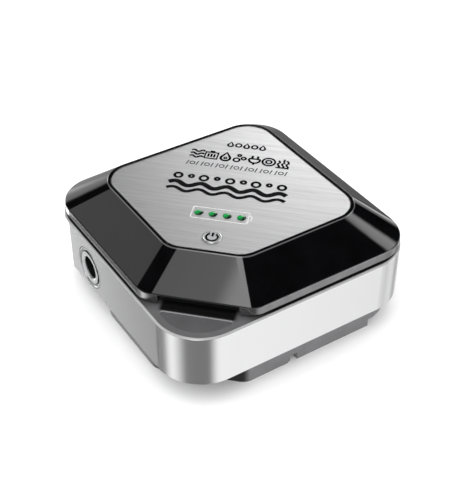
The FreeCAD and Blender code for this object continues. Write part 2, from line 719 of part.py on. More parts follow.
# ---------------------------------------------------------------- side ports
def port_bezel(outer_x, y, inward):
    """Ringed trim: a groove between the outer lip and the collar round the hole."""
    depth = CASE_HALF - SHELL_IN
    profile = [(0, PORT_FLANGE_R), (0, 7.45), (0.45, 7.2), (0.45, 6.45), (0, 6.2), (0, 4.75),
               (0.35, PORT_HOLE_R), (depth, PORT_HOLE_R), (depth, PORT_TUBE_R),
               (BAND_WALL, PORT_TUBE_R), (BAND_WALL, PORT_FLANGE_R)]
    return turned(profile, vec(outer_x, y, PORT_Z), inward)


JACK_FACE_X = -SHELL_IN
JACK_REAR_X = -33.5
JACK_BORE_R = 3.15
JACK_BORE_DEPTH = 10.0
JACK_PIN_R = 1.0          # free end, which the plug slides over
JACK_SHANK_R = 1.2        # where the pin is held in the socket's rear wall
JACK_PIN_X = -43.4        # tip of the centre pin
TAIL_END_X = JACK_REAR_X + 2.0           # solder tails behind the socket
LEAF_HALF = 1.2
LEAF_T = 0.3
LEAF_LOW = 3.9            # leaf's far face and its bump, from the socket's axis
LEAF_BUMP = 2.9


def dc_jack():
    flange = block(JACK_FACE_X, JACK_FACE_X + 2, JACK_Y - PORT_SEAT, JACK_Y + PORT_SEAT,
                   PORT_Z - PORT_SEAT, PORT_Z + PORT_SEAT)
    barrel = rod(5.2, JACK_REAR_X - JACK_FACE_X, vec(JACK_FACE_X, JACK_Y, PORT_Z), EAST)
    bore = rod(JACK_BORE_R, JACK_BORE_DEPTH, vec(JACK_FACE_X, JACK_Y, PORT_Z), EAST)
    pin_hole = rod(JACK_SHANK_R, 5.0, vec(JACK_REAR_X - 3, JACK_Y, PORT_Z), EAST)
    slot_half = LEAF_HALF + GLUE
    slot = block(JACK_FACE_X + 0.8, JACK_REAR_X, JACK_Y - slot_half, JACK_Y + slot_half,
                 PORT_Z - LEAF_LOW - 0.1, PORT_Z - LEAF_BUMP + 0.1)
    return cut_all(join([flange, barrel]), [bore, pin_hole, slot])


def jack_pin():
    nose = 0.6
    floor_x = JACK_FACE_X + JACK_BORE_DEPTH
    point = Part.makeCone(JACK_PIN_R - 0.4, JACK_PIN_R, nose, vec(JACK_PIN_X, JACK_Y, PORT_Z), EAST)
    free = rod(JACK_PIN_R, floor_x - JACK_PIN_X - nose, vec(JACK_PIN_X + nose, JACK_Y, PORT_Z), EAST)
    shank = rod(JACK_SHANK_R, TAIL_END_X - floor_x, vec(floor_x, JACK_Y, PORT_Z), EAST)
    return join([point, free, shank])


def jack_contact():
    """Leaf that bears on the plug's sleeve."""
    y0, y1 = JACK_Y - LEAF_HALF, JACK_Y + LEAF_HALF
    strip = block(-43.8, TAIL_END_X, y0, y1, PORT_Z - LEAF_LOW, PORT_Z - LEAF_LOW + LEAF_T)
    bump = block(-41.5, -37.5, y0, y1, PORT_Z - LEAF_LOW + LEAF_T, PORT_Z - LEAF_BUMP)
    return join([strip, bump])


NOZZLE_TIP_X = 43.6       # outlet nozzle, from its tip inwards
CUP_FLOOR_X = 35.9
CUP_BACK_X = 34.4
TAIL_X = 29.8
CUP_R = 5.6


def outlet_nozzle():
    """Recessed air outlet: a cup round a tube that the airline pushes over."""
    centre = vec(0, OUTLET_Y, PORT_Z)
    tip = 0.5
    flange = block(SHELL_IN - 2, SHELL_IN, OUTLET_Y - PORT_SEAT, OUTLET_Y + PORT_SEAT,
                   PORT_Z - PORT_SEAT, PORT_Z + PORT_SEAT)
    cup = rod(CUP_R, SHELL_IN - CUP_BACK_X, centre + EAST * CUP_BACK_X, EAST)
    hollow = rod(PORT_HOLE_R, SHELL_IN - CUP_FLOOR_X, centre + EAST * CUP_FLOOR_X, EAST)
    tube = rod(NOZZLE_R, NOZZLE_TIP_X - tip - CUP_FLOOR_X, centre + EAST * CUP_FLOOR_X, EAST)
    nose = Part.makeCone(NOZZLE_R, NOZZLE_R - 0.4, tip, centre + EAST * (NOZZLE_TIP_X - tip), EAST)
    tail = rod(SPIGOT_R, CUP_BACK_X - TAIL_X, centre + EAST * TAIL_X, EAST)
    bore = rod(NOZZLE_BORE_R, NOZZLE_TIP_X - TAIL_X, centre + EAST * TAIL_X, EAST)
    return join([join([flange, cup]).cut(hollow), tube, nose, tail]).cut(bore)


def outlet_hose():
    """Soft elbow from the pump's spigot round to the nozzle's tail."""
    start = vec(SPIGOT_X, PUMP_Y + BLOCK + 0.4, PORT_Z)
    bend = HOSE_BEND_R
    bend_y = OUTLET_Y - bend
    first = Part.LineSegment(start, vec(SPIGOT_X, bend_y, PORT_Z)).toShape()
    turn = bend * (1 - math.cos(math.pi / 4))
    arc = Part.Arc(vec(SPIGOT_X, bend_y, PORT_Z),
                   vec(SPIGOT_X + turn, OUTLET_Y - turn, PORT_Z),
                   vec(SPIGOT_X + bend, OUTLET_Y, PORT_Z)).toShape()
    last = Part.LineSegment(vec(SPIGOT_X + bend, OUTLET_Y, PORT_Z),
                            vec(CUP_BACK_X - 0.3, OUTLET_Y, PORT_Z)).toShape()
    path = Part.Wire([first, arc, last])
    solids = []
    for radius in (HOSE_R, HOSE_BORE_R):
        section = Part.Wire(Part.Circle(start, NORTH, radius).toShape())
        solids.append(path.makePipeShell([section], True, True))
    return solids[0].cut(solids[1])


# ---------------------------------------------------------------- battery
def battery_cell():
    """Round cell with a crimped shoulder and a raised positive end."""
    shoulder = CELL_LENGTH - 1.2
    profile = [(0, 0), (0, CELL_R - 0.4), (0.4, CELL_R), (shoulder - 1.0, CELL_R),
               (shoulder - 0.5, CELL_R - 0.5), (shoulder, CELL_R - 0.5), (shoulder, 4.0),
               (CELL_LENGTH, 4.0), (CELL_LENGTH, 0)]
    return turned(profile, vec(-CELL_LENGTH / 2, CELL_Y, CELL_Z), EAST)


def battery_cradle():
    """Half-round trough with end walls and two screw ears."""
    end_t = 2.0
    sole_top = CRADLE_BOTTOM + 2.0
    length = 2 * CRADLE_END
    start = vec(-CRADLE_END, CELL_Y, CELL_Z)
    trough = pipe(CRADLE_R, CELL_R + 0.25, length, start, EAST)
    trough = trough.common(block(-40, 40, -40, 0, CRADLE_BOTTOM, CELL_Z))
    pieces = [trough, block(-CRADLE_END, CRADLE_END, CELL_Y - 6.5, CELL_Y + 6.5,
                            CRADLE_BOTTOM, sole_top)]
    for side in (-1, 1):
        x0, x1 = sorted((side * CRADLE_END, side * (CRADLE_END + end_t)))
        pieces.append(block(x0, x1, CELL_Y - 10.4, CELL_Y + 9.3, CRADLE_BOTTOM, 22.0))
    for x, y in CRADLE_SCREWS:
        pieces.append(block(x - 3.2, x + 3.2, y - 2.8, CELL_Y - 6.0, CRADLE_BOTTOM, sole_top))
    tools = [rod(CELL_R + 0.25, length, start, EAST)]
    tools += [rod(1.4, 4.0, vec(x, y, CRADLE_BOTTOM - 1)) for x, y in CRADLE_SCREWS]
    tools += [rod(COLUMN_R + 1.6, 30.0, vec(x, y, 0)) for x, y in corners(COLUMN_XY)]
    for x in (-16.0, 0.0, 16.0):
        tools.append(block(x - 5, x + 5, CELL_Y + 4, CELL_Y + 12, 11.0, 15.5))
    return cut_all(join(pieces), tools)


def battery_strap():
    """Snap-over strap that holds the cell down in its trough."""
    x0, x1 = 10.5, 17.5
    band = pipe(CRADLE_R - 0.5, CELL_R + 0.1, x1 - x0, vec(x0, CELL_Y, CELL_Z), EAST)
    band = band.common(block(x0, x1, -40, 0, CELL_Z, 40))
    feet = []
    for side in (-1, 1):
        foot_y = CELL_Y + side * (CRADLE_R + 0.1)
        feet.append(block(x0, x1, foot_y - 1.2, foot_y + 1.2, CELL_Z, CELL_Z + 1.2))
    return join([band] + feet)


def battery_screws():
    return [screw(2.4, 1.5, 1.2, 5.0, vec(x, y, CRADLE_BOTTOM + 2.0), DOWN)
            for x, y in CRADLE_SCREWS]


TAB_X = 25.1
TAB_T = 0.4
TAB_TOP = 25.4


def battery_tabs():
    tabs = []
    for side in (-1, 1):
        x0, x1 = sorted((side * TAB_X, side * (TAB_X + TAB_T)))
        plate = block(x0, x1, CELL_Y - 4, CELL_Y + 4, CELL_Z - 4, CELL_Z + 4)
        ear = block(x0, x1, CELL_Y - 1.2, CELL_Y + 1.2, CELL_Z + 4, TAB_TOP)
        tabs.append(join([plate, ear]))
    return tabs


# ---------------------------------------------------------------- leads
def battery_leads():
    x, y = HEADERS[2]
    end = TAB_X + TAB_T + 0.12
    minus = [(-end, CELL_Y, TAB_TOP), (-end, CELL_Y, 29.0), (-22.0, -26.0, 29.6),
             (-12.5, -28.0, 28.6), (x - LEAD_OFFSET, y, 27.6), (x - LEAD_OFFSET, y, HEADER_BOTTOM)]
    plus = [(end, CELL_Y, TAB_TOP), (end, CELL_Y, 29.2), (19.0, -26.0, 29.8),
            (5.0, -28.4, 28.8), (x + LEAD_OFFSET, y, 27.6), (x + LEAD_OFFSET, y, HEADER_BOTTOM)]
    return [lead(minus, LEAD_R), lead(plus, LEAD_R)]


def jack_leads():
    x, y = HEADERS[0]
    leaf_z = PORT_Z - LEAF_LOW + LEAF_T / 2
    centre = [(TAIL_END_X, JACK_Y, PORT_Z), (TAIL_END_X + 3.6, JACK_Y, PORT_Z),
              (x - 1.4, JACK_Y - 5.0, 24.0), (x - LEAD_OFFSET, y, 25.6),
              (x - LEAD_OFFSET, y, HEADER_BOTTOM)]
    sleeve = [(TAIL_END_X, JACK_Y, leaf_z), (TAIL_END_X + 4.6, JACK_Y, leaf_z),
              (x + 1.6, JACK_Y - 6.4, 20.4), (x + LEAD_OFFSET, y, 24.6),
              (x + LEAD_OFFSET, y, HEADER_BOTTOM)]
    return [lead(centre, LEAD_R), lead(sleeve, LEAD_R)]


def coil_leads():
    x, y = HEADERS[1]
    top = PUMP_Z + COIL_HALF_H
    leads = []
    for shift in (-LEAD_OFFSET, LEAD_OFFSET):
        points = [(x + 5.0 + shift, 25.0, top), (x + 5.0 + shift, 25.0, top + 2.4),
                  (x + 2.0 + shift, 13.5, 30.0), (x + shift, y, 27.4),
                  (x + shift, y, HEADER_BOTTOM)]
        leads.append(lead(points, LEAD_R))
    return leads


# ---------------------------------------------------------------- pump frame and core
def pump_frame():
    """Moulded frame: base plate, core seat, hinge lugs and the bulkhead for the pump stack."""
    left = LEVER_X - CORE_HALF
    right = LEVER_X + CORE_HALF
    back = FRAME_BACK
    plate = block(FRAME_LEFT, FRAME_RIGHT, FRAME_FRONT, back, FRAME_Z0, FRAME_Z1)
    ear_x, ear_y = GROMMETS[1]
    ear_r = 5.2
    ear = join([rod(ear_r, FRAME_Z1 - FRAME_Z0, vec(ear_x, ear_y, FRAME_Z0)),
                block(FRAME_RIGHT, ear_x, FRAME_FRONT, ear_y + ear_r, FRAME_Z0, FRAME_Z1)])
    seat_z = PUMP_Z - CORE_STACK / 2
    rails = [block(left, left + LIMB, POLE_Y + 1, back, FRAME_Z1, seat_z),
             block(right - LIMB, right, POLE_Y + 1, back, FRAME_Z1, seat_z),
             block(left, right, back - 3.6, back, FRAME_Z1, seat_z)]
    lug_x0, lug_x1 = LEVER_X - 10, BULKHEAD_X
    lug_y0, lug_y1 = HINGE_Y - 4.0, HINGE_Y + 3.6
    hinge = [block(lug_x0, lug_x0 + 4, lug_y0, lug_y1 + 0.4, FRAME_Z1, FRAME_TOP),
             block(lug_x0, lug_x1, lug_y0, lug_y1, FRAME_Z1, HUB_BOTTOM - 0.4),
             block(lug_x0, lug_x1, lug_y0, lug_y1, HUB_BOTTOM + HUB_H + 0.4, FRAME_TOP)]
    bulkhead = block(BULKHEAD_X, CLAMP_X, PUMP_Y - BLOCK, PUMP_Y + BLOCK,
                     FRAME_Z1, PUMP_Z + BLOCK)
    frame = join([plate, ear, bulkhead] + rails + hinge)
    tools = [rod(3.05, FRAME_Z1 - FRAME_Z0, vec(x, y, FRAME_Z0)) for x, y in GROMMETS]
    tools.append(rod(HINGE_R, FRAME_TOP - FRAME_Z1 + 1, vec(LEVER_X, HINGE_Y, FRAME_Z1)))
    tools.append(rod(CHAMBER_R + 0.2, 2.0, vec(BULKHEAD_X, PUMP_Y, PUMP_Z), EAST))
    tools += [rod(1.1, 1.8, vec(BULKHEAD_X + 0.2, y, z), EAST) for y, z in stack_screw_places()]
    tools += [rod(CORE_SCREW_R + GLUE, 5.0, vec(x, CORE_SCREW_Y, seat_z - 5))
              for x in core_screw_xs()]
    tools.append(block(LEVER_X - 5.0, LEVER_X + 2.6, HINGE_Y + 8, POLE_Y - 6.2, FRAME_Z0, FRAME_Z1))
    tools.append(block(left + LIMB, right - LIMB, POLE_Y - 2.2, back - 5, FRAME_Z0, FRAME_Z1))
    return cut_all(frame, tools)


def core_screw_xs():
    return [LEVER_X + side * (CORE_HALF - 2.3) for side in (-1, 1)]


def frame_grommets():
    """Soft bushes that keep the drive's hum out of the base."""
    neck_low = FRAME_Z0 - CRADLE_BOTTOM
    neck_high = FRAME_Z1 - CRADLE_BOTTOM
    profile = [(0, 1.65), (0, 3.6), (neck_low, 3.6), (neck_low, 3.0), (neck_high, 3.0),
               (neck_high, 3.6), (GROMMET_H, 3.6), (GROMMET_H, 1.65)]
    return [turned(profile, vec(x, y, CRADLE_BOTTOM), UP, EAST) for x, y in GROMMETS]


def frame_screws():
    seat = CRADLE_BOTTOM + GROMMET_H
    return [screw(3.0, 1.6, 1.45, 8.2, vec(x, y, seat), DOWN) for x, y in GROMMETS]


def core_laminations():
    """E-shaped stack with its three poles towards the magnet."""
    left = LEVER_X - CORE_HALF
    right = LEVER_X + CORE_HALF
    low = PUMP_Z - CORE_STACK / 2
    high = PUMP_Z + CORE_STACK / 2
    end = POLE_Y + CORE_LENGTH
    stack = block(left, right, POLE_Y, end, low, high)
    for side in (-1, 1):
        x0, x1 = sorted((LEVER_X + side * CENTRE_LIMB / 2, LEVER_X + side * (CORE_HALF - LIMB)))
        stack = stack.cut(block(x0, x1, POLE_Y, end - YOKE, low, high))
    return cut_all(stack, [rod(CORE_SCREW_R + 0.2, CORE_STACK, vec(x, CORE_SCREW_Y, low))
                           for x in core_screw_xs()])


def core_screws():
    high = PUMP_Z + CORE_STACK / 2
    return [screw(2.1, 1.5, CORE_SCREW_R, CORE_STACK + 4.5, vec(x, CORE_SCREW_Y, high), DOWN)
            for x in core_screw_xs()]


BOBBIN_Y0 = POLE_Y + 0.6
BOBBIN_Y1 = POLE_Y + CORE_LENGTH - YOKE - 0.3
BOBBIN_FLANGE = 1.0
BOBBIN_WALL = 0.8
COIL_HALF_W = 8.9
COIL_HALF_H = 9.1


def coil_bobbin():
    half_w = CENTRE_LIMB / 2 + 0.1
    half_h = CORE_STACK / 2 + 0.1
    tube = block(LEVER_X - half_w - BOBBIN_WALL, LEVER_X + half_w + BOBBIN_WALL,
                 BOBBIN_Y0, BOBBIN_Y1, PUMP_Z - half_h - BOBBIN_WALL, PUMP_Z + half_h + BOBBIN_WALL)
    flanges = [block(LEVER_X - COIL_HALF_W - 0.4, LEVER_X + COIL_HALF_W + 0.4, y, y + BOBBIN_FLANGE,
                     PUMP_Z - COIL_HALF_H - 0.3, PUMP_Z + COIL_HALF_H + 0.3)
               for y in (BOBBIN_Y0, BOBBIN_Y1 - BOBBIN_FLANGE)]
    return join([tube] + flanges).cut(block(LEVER_X - half_w, LEVER_X + half_w, BOBBIN_Y0,
                                            BOBBIN_Y1, PUMP_Z - half_h, PUMP_Z + half_h))


def coil_winding():
    y0 = BOBBIN_Y0 + BOBBIN_FLANGE
    length = BOBBIN_Y1 - BOBBIN_FLANGE - y0
    inner_w = CENTRE_LIMB / 2 + 0.1 + BOBBIN_WALL
    inner_h = CORE_STACK / 2 + 0.1 + BOBBIN_WALL
    points = [(-COIL_HALF_W, -COIL_HALF_H), (COIL_HALF_W, -COIL_HALF_H),
              (COIL_HALF_W, COIL_HALF_H), (-COIL_HALF_W, COIL_HALF_H)]
    coil = prism(rounded_wire(points, [2.6] * 4, 0), length)
    coil = coil.cut(block(-inner_w, inner_w, -inner_h, inner_h, 0, length))
    coil.rotate(vec(0, 0, 0), EAST, -90)
    coil.translate(vec(LEVER_X, y0, PUMP_Z))
    return coil


# ---------------------------------------------------------------- armature
HUB_R = 3.0
HUB_BOTTOM = 13.4
HUB_H = 16.4
SCREW_R = 1.1
LEVER_END = 14.4
LEVER_HALF_H = 5.8
MAGNET_HALF_W = 4.0
MAGNET_HALF_H = 5.0
MAGNET_T = 3.0


def hinge_pin():
    return rod(HINGE_R, FRAME_TOP - FRAME_Z1, vec(LEVER_X, HINGE_Y, FRAME_Z1))


def armature_lever():
    """Flat lever: hinge hub at one end, magnet plate at the other."""
    half_t = LEVER_T / 2
    arm = block(LEVER_X - half_t, LEVER_X + half_t, HINGE_Y, LEVER_END,
                PUMP_Z - LEVER_HALF_H, PUMP_Z + LEVER_HALF_H)
    hub = rod(HUB_R, HUB_H, vec(LEVER_X, HINGE_Y, HUB_BOTTOM))
    foot = block(LEVER_X - MAGNET_HALF_W, LEVER_X + MAGNET_HALF_W, LEVER_END, LEVER_END + 1.0,
                 PUMP_Z - MAGNET_HALF_H, PUMP_Z + MAGNET_HALF_H)
    ribs = [block(LEVER_X - 3, LEVER_X + half_t, LEVER_END - 3, LEVER_END, z, z + 1.2)
            for z in (PUMP_Z - MAGNET_HALF_H, PUMP_Z + MAGNET_HALF_H - 1.2)]
    tools = [rod(HINGE_R + RUN, HUB_H, vec(LEVER_X, HINGE_Y, HUB_BOTTOM)),
             rod(SCREW_R + 0.05, 10.0, vec(LEVER_X - 5, PUMP_Y, PUMP_Z), EAST)]
    return cut_all(join([arm, hub, foot] + ribs), tools)


def armature_magnet():
    y0 = LEVER_END + 1.0
    return block(LEVER_X - MAGNET_HALF_W, LEVER_X + MAGNET_HALF_W, y0, y0 + MAGNET_T,
                 PUMP_Z - MAGNET_HALF_H, PUMP_Z + MAGNET_HALF_H)


ROLL_R = 2.1              # diaphragm's convolution and the radius it runs at
ROLL_MID = 5.5
RUBBER_T = 0.6
BEAD_R = 10.2
BEAD_T = 1.0
BOSS_BORE_R = 1.15


def diaphragm():
    """Rubber cup: clamped bead, one rolled convolution and a centre boss."""
    face = BODY_X
    base_x = face + 0.2
    boss_x = LEVER_X + LEVER_T / 2
    inner_r = ROLL_R - RUBBER_T

    def at(x, radius):
        return vec(x, PUMP_Y, PUMP_Z + radius)

    def roll(radius, turn):
        return Part.Arc(at(base_x, ROLL_MID - turn * radius), at(base_x - radius, ROLL_MID),
                        at(base_x, ROLL_MID + turn * radius)).toShape()

    edges = [roll(ROLL_R, 1)]
    outside = [(base_x, ROLL_MID + ROLL_R), (face, ROLL_MID + ROLL_R), (face, BEAD_R),
               (face + BEAD_T, BEAD_R), (face + BEAD_T, ROLL_MID + inner_r),
               (base_x, ROLL_MID + inner_r)]
    inside = [(base_x, ROLL_MID - inner_r), (face + RUBBER_T, ROLL_MID - inner_r),
              (face + RUBBER_T, BOSS_BORE_R), (boss_x, BOSS_BORE_R),
              (boss_x, ROLL_MID - ROLL_R), (base_x, ROLL_MID - ROLL_R)]
    for run in (outside, inside):
        edges += [Part.LineSegment(at(*run[index]), at(*run[index + 1])).toShape()
                  for index in range(len(run) - 1)]
        if run is outside:
            edges.append(roll(inner_r, -1))
    return Part.Face(Part.Wire(edges)).revolve(vec(0, PUMP_Y, PUMP_Z), EAST, 360)


def diaphragm_plate():
    return pipe(3.6, SCREW_R + 0.02, 1.0, vec(BODY_X + RUBBER_T, PUMP_Y, PUMP_Z), EAST)


def diaphragm_screw():
    seat = LEVER_X - LEVER_T / 2
    length = BODY_X + RUBBER_T + 1.0 - seat
    return screw(2.2, 1.5, SCREW_R, length, vec(seat, PUMP_Y, PUMP_Z), EAST)


# ---------------------------------------------------------------- pump stack
def stack_screw_places():
    return [(PUMP_Y + sy * STACK_SCREW, PUMP_Z + sz * STACK_SCREW)
            for sy in (-1, 1) for sz in (-1, 1)]


def stack_plate(x0, x1):
    """Square plate of the pump stack with its four screw holes."""
    plate = block(x0, x1, PUMP_Y - BLOCK, PUMP_Y + BLOCK, PUMP_Z - BLOCK, PUMP_Z + BLOCK)
    return cut_all(plate, [rod(1.2, x1 - x0, vec(x0, y, z), EAST)
                           for y, z in stack_screw_places()])


def half_pocket(x0, x1, side):
    """One half of the round gallery: side -1 is the intake, 1 is the outlet."""
    disc = rod(CHAMBER_R, x1 - x0, vec(x0, PUMP_Y, PUMP_Z), EAST)
    y0, y1 = sorted((PUMP_Y + side * 0.6, PUMP_Y + side * BLOCK))
    return disc.common(block(x0, x1, y0, y1, 0, 60))


def clamp_plate():
    opening = rod(CHAMBER_R + 0.2, 2.0, vec(CLAMP_X, PUMP_Y, PUMP_Z), EAST)
    return stack_plate(CLAMP_X, BODY_X).cut(opening)


def chamber_body():
    body = stack_plate(BODY_X, VALVE_X)
    seat = rod(BEAD_R + GLUE, BEAD_T, vec(BODY_X, PUMP_Y, PUMP_Z), EAST)
    return cut_all(body, [seat, rod(CHAMBER_R, 6.0, vec(BODY_X, PUMP_Y, PUMP_Z), EAST)])


def valve_plate():
    """Plate with two rings of ports; each ring has a headed pin for its disc."""
    plate = stack_plate(VALVE_X, GASKET_X)
    hole_ring = 2.1
    hole_count = 6
    for offset in (-VALVE_OFFSET, VALVE_OFFSET):
        for index in range(hole_count):
            angle = 2 * math.pi * index / hole_count
            y = PUMP_Y + offset + hole_ring * math.cos(angle)
            z = PUMP_Z + hole_ring * math.sin(angle)
            plate = plate.cut(rod(0.6, 3.0, vec(VALVE_X, y, z), EAST))
    pin_length = VALVE_T + VALVE_LIFT + RUN
    head_t = 0.4
    pins = []
    for offset, face, axis in ((-VALVE_OFFSET, VALVE_X, WEST), (VALVE_OFFSET, GASKET_X, EAST)):
        base = vec(face, PUMP_Y + offset, PUMP_Z)
        pins.append(rod(VALVE_PIN_R, pin_length + head_t, base, axis))
        pins.append(rod(VALVE_PIN_R + 0.5, head_t, base + axis * pin_length, axis))
    return join([plate] + pins)


def valve_disc(offset, face, axis):
    base = vec(face, PUMP_Y + offset, PUMP_Z)
    return pipe(VALVE_R, VALVE_PIN_R + RUN, VALVE_T, base, axis)


def valve_gasket():
    sheet = stack_plate(GASKET_X, CAP_X)
    return cut_all(sheet, [half_pocket(GASKET_X, CAP_X, side) for side in (-1, 1)])


def gallery_cap():
    """Cap with the intake and outlet galleries and the outlet spigot."""
    body = stack_plate(CAP_X, CAP_END)
    side_y = PUMP_Y + BLOCK
    spigot = rod(SPIGOT_R, 3.6, vec(SPIGOT_X, side_y, PORT_Z), NORTH)
    body = join([body, spigot])
    pockets = [half_pocket(CAP_X, CAP_END - 1.8, side) for side in (-1, 1)]
    outlet = rod(NOZZLE_BORE_R, 9.0, vec(SPIGOT_X, PUMP_Y + 6.0, PORT_Z), NORTH)
    intake = rod(1.8, 6.0, vec(SPIGOT_X, PUMP_Y - BLOCK, PUMP_Z), NORTH)
    return cut_all(body, pockets + [outlet, intake])


def chamber_screws():
    length = CAP_END - BULKHEAD_X - 0.4
    return [screw(2.0, 1.5, 1.05, length, vec(CAP_END, y, z), WEST)
            for y, z in stack_screw_places()]


# ---------------------------------------------------------------- write every piece
PIECES = {
    "rubber_feet": rubber_feet,
    "base_pan": base_pan,
    "filter_cap": filter_cap,
    "intake_felt": intake_felt,
    "mid_shell": mid_shell,
    "side_band": side_band,
    "top_cover": top_cover,
    "face_plate": face_plate,
    "case_screws": case_screws,
    "cover_screws": cover_screws,
    "power_button": power_button,
    "switch_body": switch_body,
    "switch_plunger": switch_plunger,
    "control_board": control_board,
    "board_screws": board_screws,
    "driver_chip": lambda: chip(-1.0, -6.0, 5.0),
    "charge_chip": lambda: chip(-14.5, 2.5, 8.8),
    "smoothing_capacitor": smoothing_capacitor,
    "boost_inductor": boost_inductor,
    "lead_headers": lead_headers,
    "jack_bezel": lambda: port_bezel(-CASE_HALF, JACK_Y, EAST),
    "dc_jack": dc_jack,
    "jack_pin": jack_pin,
    "jack_contact": jack_contact,
    "jack_leads": jack_leads,
    "outlet_bezel": lambda: port_bezel(CASE_HALF, OUTLET_Y, WEST),
    "outlet_nozzle": outlet_nozzle,
    "outlet_hose": outlet_hose,
    "battery_cell": battery_cell,
    "battery_tabs": battery_tabs,
    "battery_cradle": battery_cradle,
    "battery_strap": battery_strap,
    "battery_screws": battery_screws,
    "battery_leads": battery_leads,
    "pump_frame": pump_frame,
    "frame_grommets": frame_grommets,
    "frame_screws": frame_screws,
    "core_laminations": core_laminations,
    "core_screws": core_screws,
    "coil_bobbin": coil_bobbin,
    "coil_winding": coil_winding,
    "coil_leads": coil_leads,
    "hinge_pin": hinge_pin,
    "armature_lever": armature_lever,
    "armature_magnet": armature_magnet,
    "diaphragm": diaphragm,
    "diaphragm_plate": diaphragm_plate,
    "diaphragm_screw": diaphragm_screw,
    "clamp_plate": clamp_plate,
    "chamber_body": chamber_body,
    "valve_plate": valve_plate,
    "inlet_valve": lambda: valve_disc(-VALVE_OFFSET, VALVE_X, WEST),
    "outlet_valve": lambda: valve_disc(VALVE_OFFSET, GASKET_X, EAST),
    "valve_gasket": valve_gasket,
    "gallery_cap": gallery_cap,
    "chamber_screws": chamber_screws,
}


def main():
    os.makedirs("parts", exist_ok=True)
    for name, make in PIECES.items():
        save(name, make())
    for index, (x, y) in enumerate(lamp_places()):
        save("led_%d" % (index + 1), lamp(x, y))


main()
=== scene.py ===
"""Looks of the aquarium air pump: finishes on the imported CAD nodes, printed marks, and the studio.

Lengths are in metres, in the CAD frame: +Z up, the front corner of the case towards -X -Y.
"""

import json
import math

import bmesh
import bpy
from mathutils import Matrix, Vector


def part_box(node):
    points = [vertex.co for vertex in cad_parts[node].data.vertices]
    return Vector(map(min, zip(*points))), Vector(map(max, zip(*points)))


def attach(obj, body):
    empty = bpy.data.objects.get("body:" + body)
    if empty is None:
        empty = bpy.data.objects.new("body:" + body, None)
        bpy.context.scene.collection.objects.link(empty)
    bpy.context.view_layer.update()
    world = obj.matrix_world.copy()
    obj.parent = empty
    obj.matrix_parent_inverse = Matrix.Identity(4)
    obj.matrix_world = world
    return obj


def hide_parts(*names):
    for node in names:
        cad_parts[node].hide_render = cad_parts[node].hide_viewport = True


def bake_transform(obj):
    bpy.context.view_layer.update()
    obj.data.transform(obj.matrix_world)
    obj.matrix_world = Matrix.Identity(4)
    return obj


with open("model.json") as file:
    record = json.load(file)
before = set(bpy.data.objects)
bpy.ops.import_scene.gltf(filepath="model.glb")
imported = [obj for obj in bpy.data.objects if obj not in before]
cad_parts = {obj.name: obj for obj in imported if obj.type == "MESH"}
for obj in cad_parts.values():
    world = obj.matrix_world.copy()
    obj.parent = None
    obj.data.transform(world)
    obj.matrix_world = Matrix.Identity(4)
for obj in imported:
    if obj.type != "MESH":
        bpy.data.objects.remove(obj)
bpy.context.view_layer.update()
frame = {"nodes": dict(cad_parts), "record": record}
NODES = frame["nodes"]
MM = 0.001

# ------------------------------------------------------------------ places taken from the frame
BUTTON_LOW, BUTTON_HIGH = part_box("power_button")
LAMP_BOXES = [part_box("led_%d" % index) for index in (1, 2, 3, 4)]
PLATE_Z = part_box("face_plate")[1].z
RIM_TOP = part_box("top_cover")[1].z
PORT_LOW, PORT_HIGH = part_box("jack_bezel")
PORT_FACE = -PORT_LOW.x
PORT_RADIUS = (PORT_HIGH.z - PORT_LOW.z) / 2
PORT_SEAM = 6.35 * MM                    # radius of the seam inside each port's outer ring
PORT_CENTRES = [sum(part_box(name), Vector()) / 2 for name in ("jack_bezel", "outlet_bezel")]
BAND_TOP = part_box("side_band")[1].z
DECK_TOP = BAND_TOP - 0.2 * MM
SKIRT_TOP = DECK_TOP + 4.0 * MM
NOTCH_END = 13.55 * MM * math.sqrt(2)    # |x - y| at the ends of the notch in the skirt
NOTCH_BACK = -59.5 * MM                  # x + y behind the notch
RECESS_EDGE = -49.6 * MM * math.sqrt(2)  # x + y at the thumb recess's straight edge
PAINTED_RIM_LINE = 0.28 * MM                     # height of the painted highlight line round the rim's edge
BUTTON_CENTRE = (BUTTON_LOW + BUTTON_HIGH) / 2
BUTTON_DISH_Z = BUTTON_HIGH.z - 0.15 * MM     # the button's face lies inside its bevelled edge
LAMP_ROW = sum(((low + high) / 2 for low, high in LAMP_BOXES), Vector()) / len(LAMP_BOXES)

ROW = Vector((1, -1, 0)).normalized()         # along the lamp row, left to right
AWAY = Vector((1, 1, 0)).normalized()         # from the front corner to the back corner
BRUSH_ANGLE = math.radians(-45)               # the plate is brushed along the lamp row

INK_T = 0.03 * MM                             # thickness of a printed mark


# ------------------------------------------------------------------ node helpers
def new_material(name):
    material = bpy.data.materials.new(name)
    material.use_nodes = True
    return material, material.node_tree.nodes["Principled BSDF"]


def add_node(material, kind, inputs=(), **settings):
    made = material.node_tree.nodes.new(kind)
    for key, value in settings.items():
        setattr(made, key, value)
    for key, value in dict(inputs).items():
        made.inputs[key].default_value = value
    return made


def wire(material, source, target):
    material.node_tree.links.new(source, target)


def object_space(material, scale=(1, 1, 1), angle=0.0):
    """Object coordinates, turned about Z and stretched; with scale 1000 a unit is a millimetre."""
    place = add_node(material, "ShaderNodeTexCoord")
    mapping = add_node(material, "ShaderNodeMapping", vector_type="POINT")
    mapping.inputs["Rotation"].default_value = (0, 0, angle)
    stretch = add_node(material, "ShaderNodeVectorMath", operation="MULTIPLY")
    stretch.inputs[1].default_value = scale
    wire(material, place.outputs["Object"], mapping.inputs["Vector"])
    wire(material, mapping.outputs["Vector"], stretch.inputs[0])
    return stretch.outputs["Vector"]


def noise(material, vector, detail=3.0, roughness=0.55, distortion=0.0):
    made = add_node(material, "ShaderNodeTexNoise",
                    {"Scale": 1.0, "Detail": detail, "Roughness": roughness,
                     "Distortion": distortion})
    wire(material, vector, made.inputs["Vector"])
    return made.outputs["Fac"]


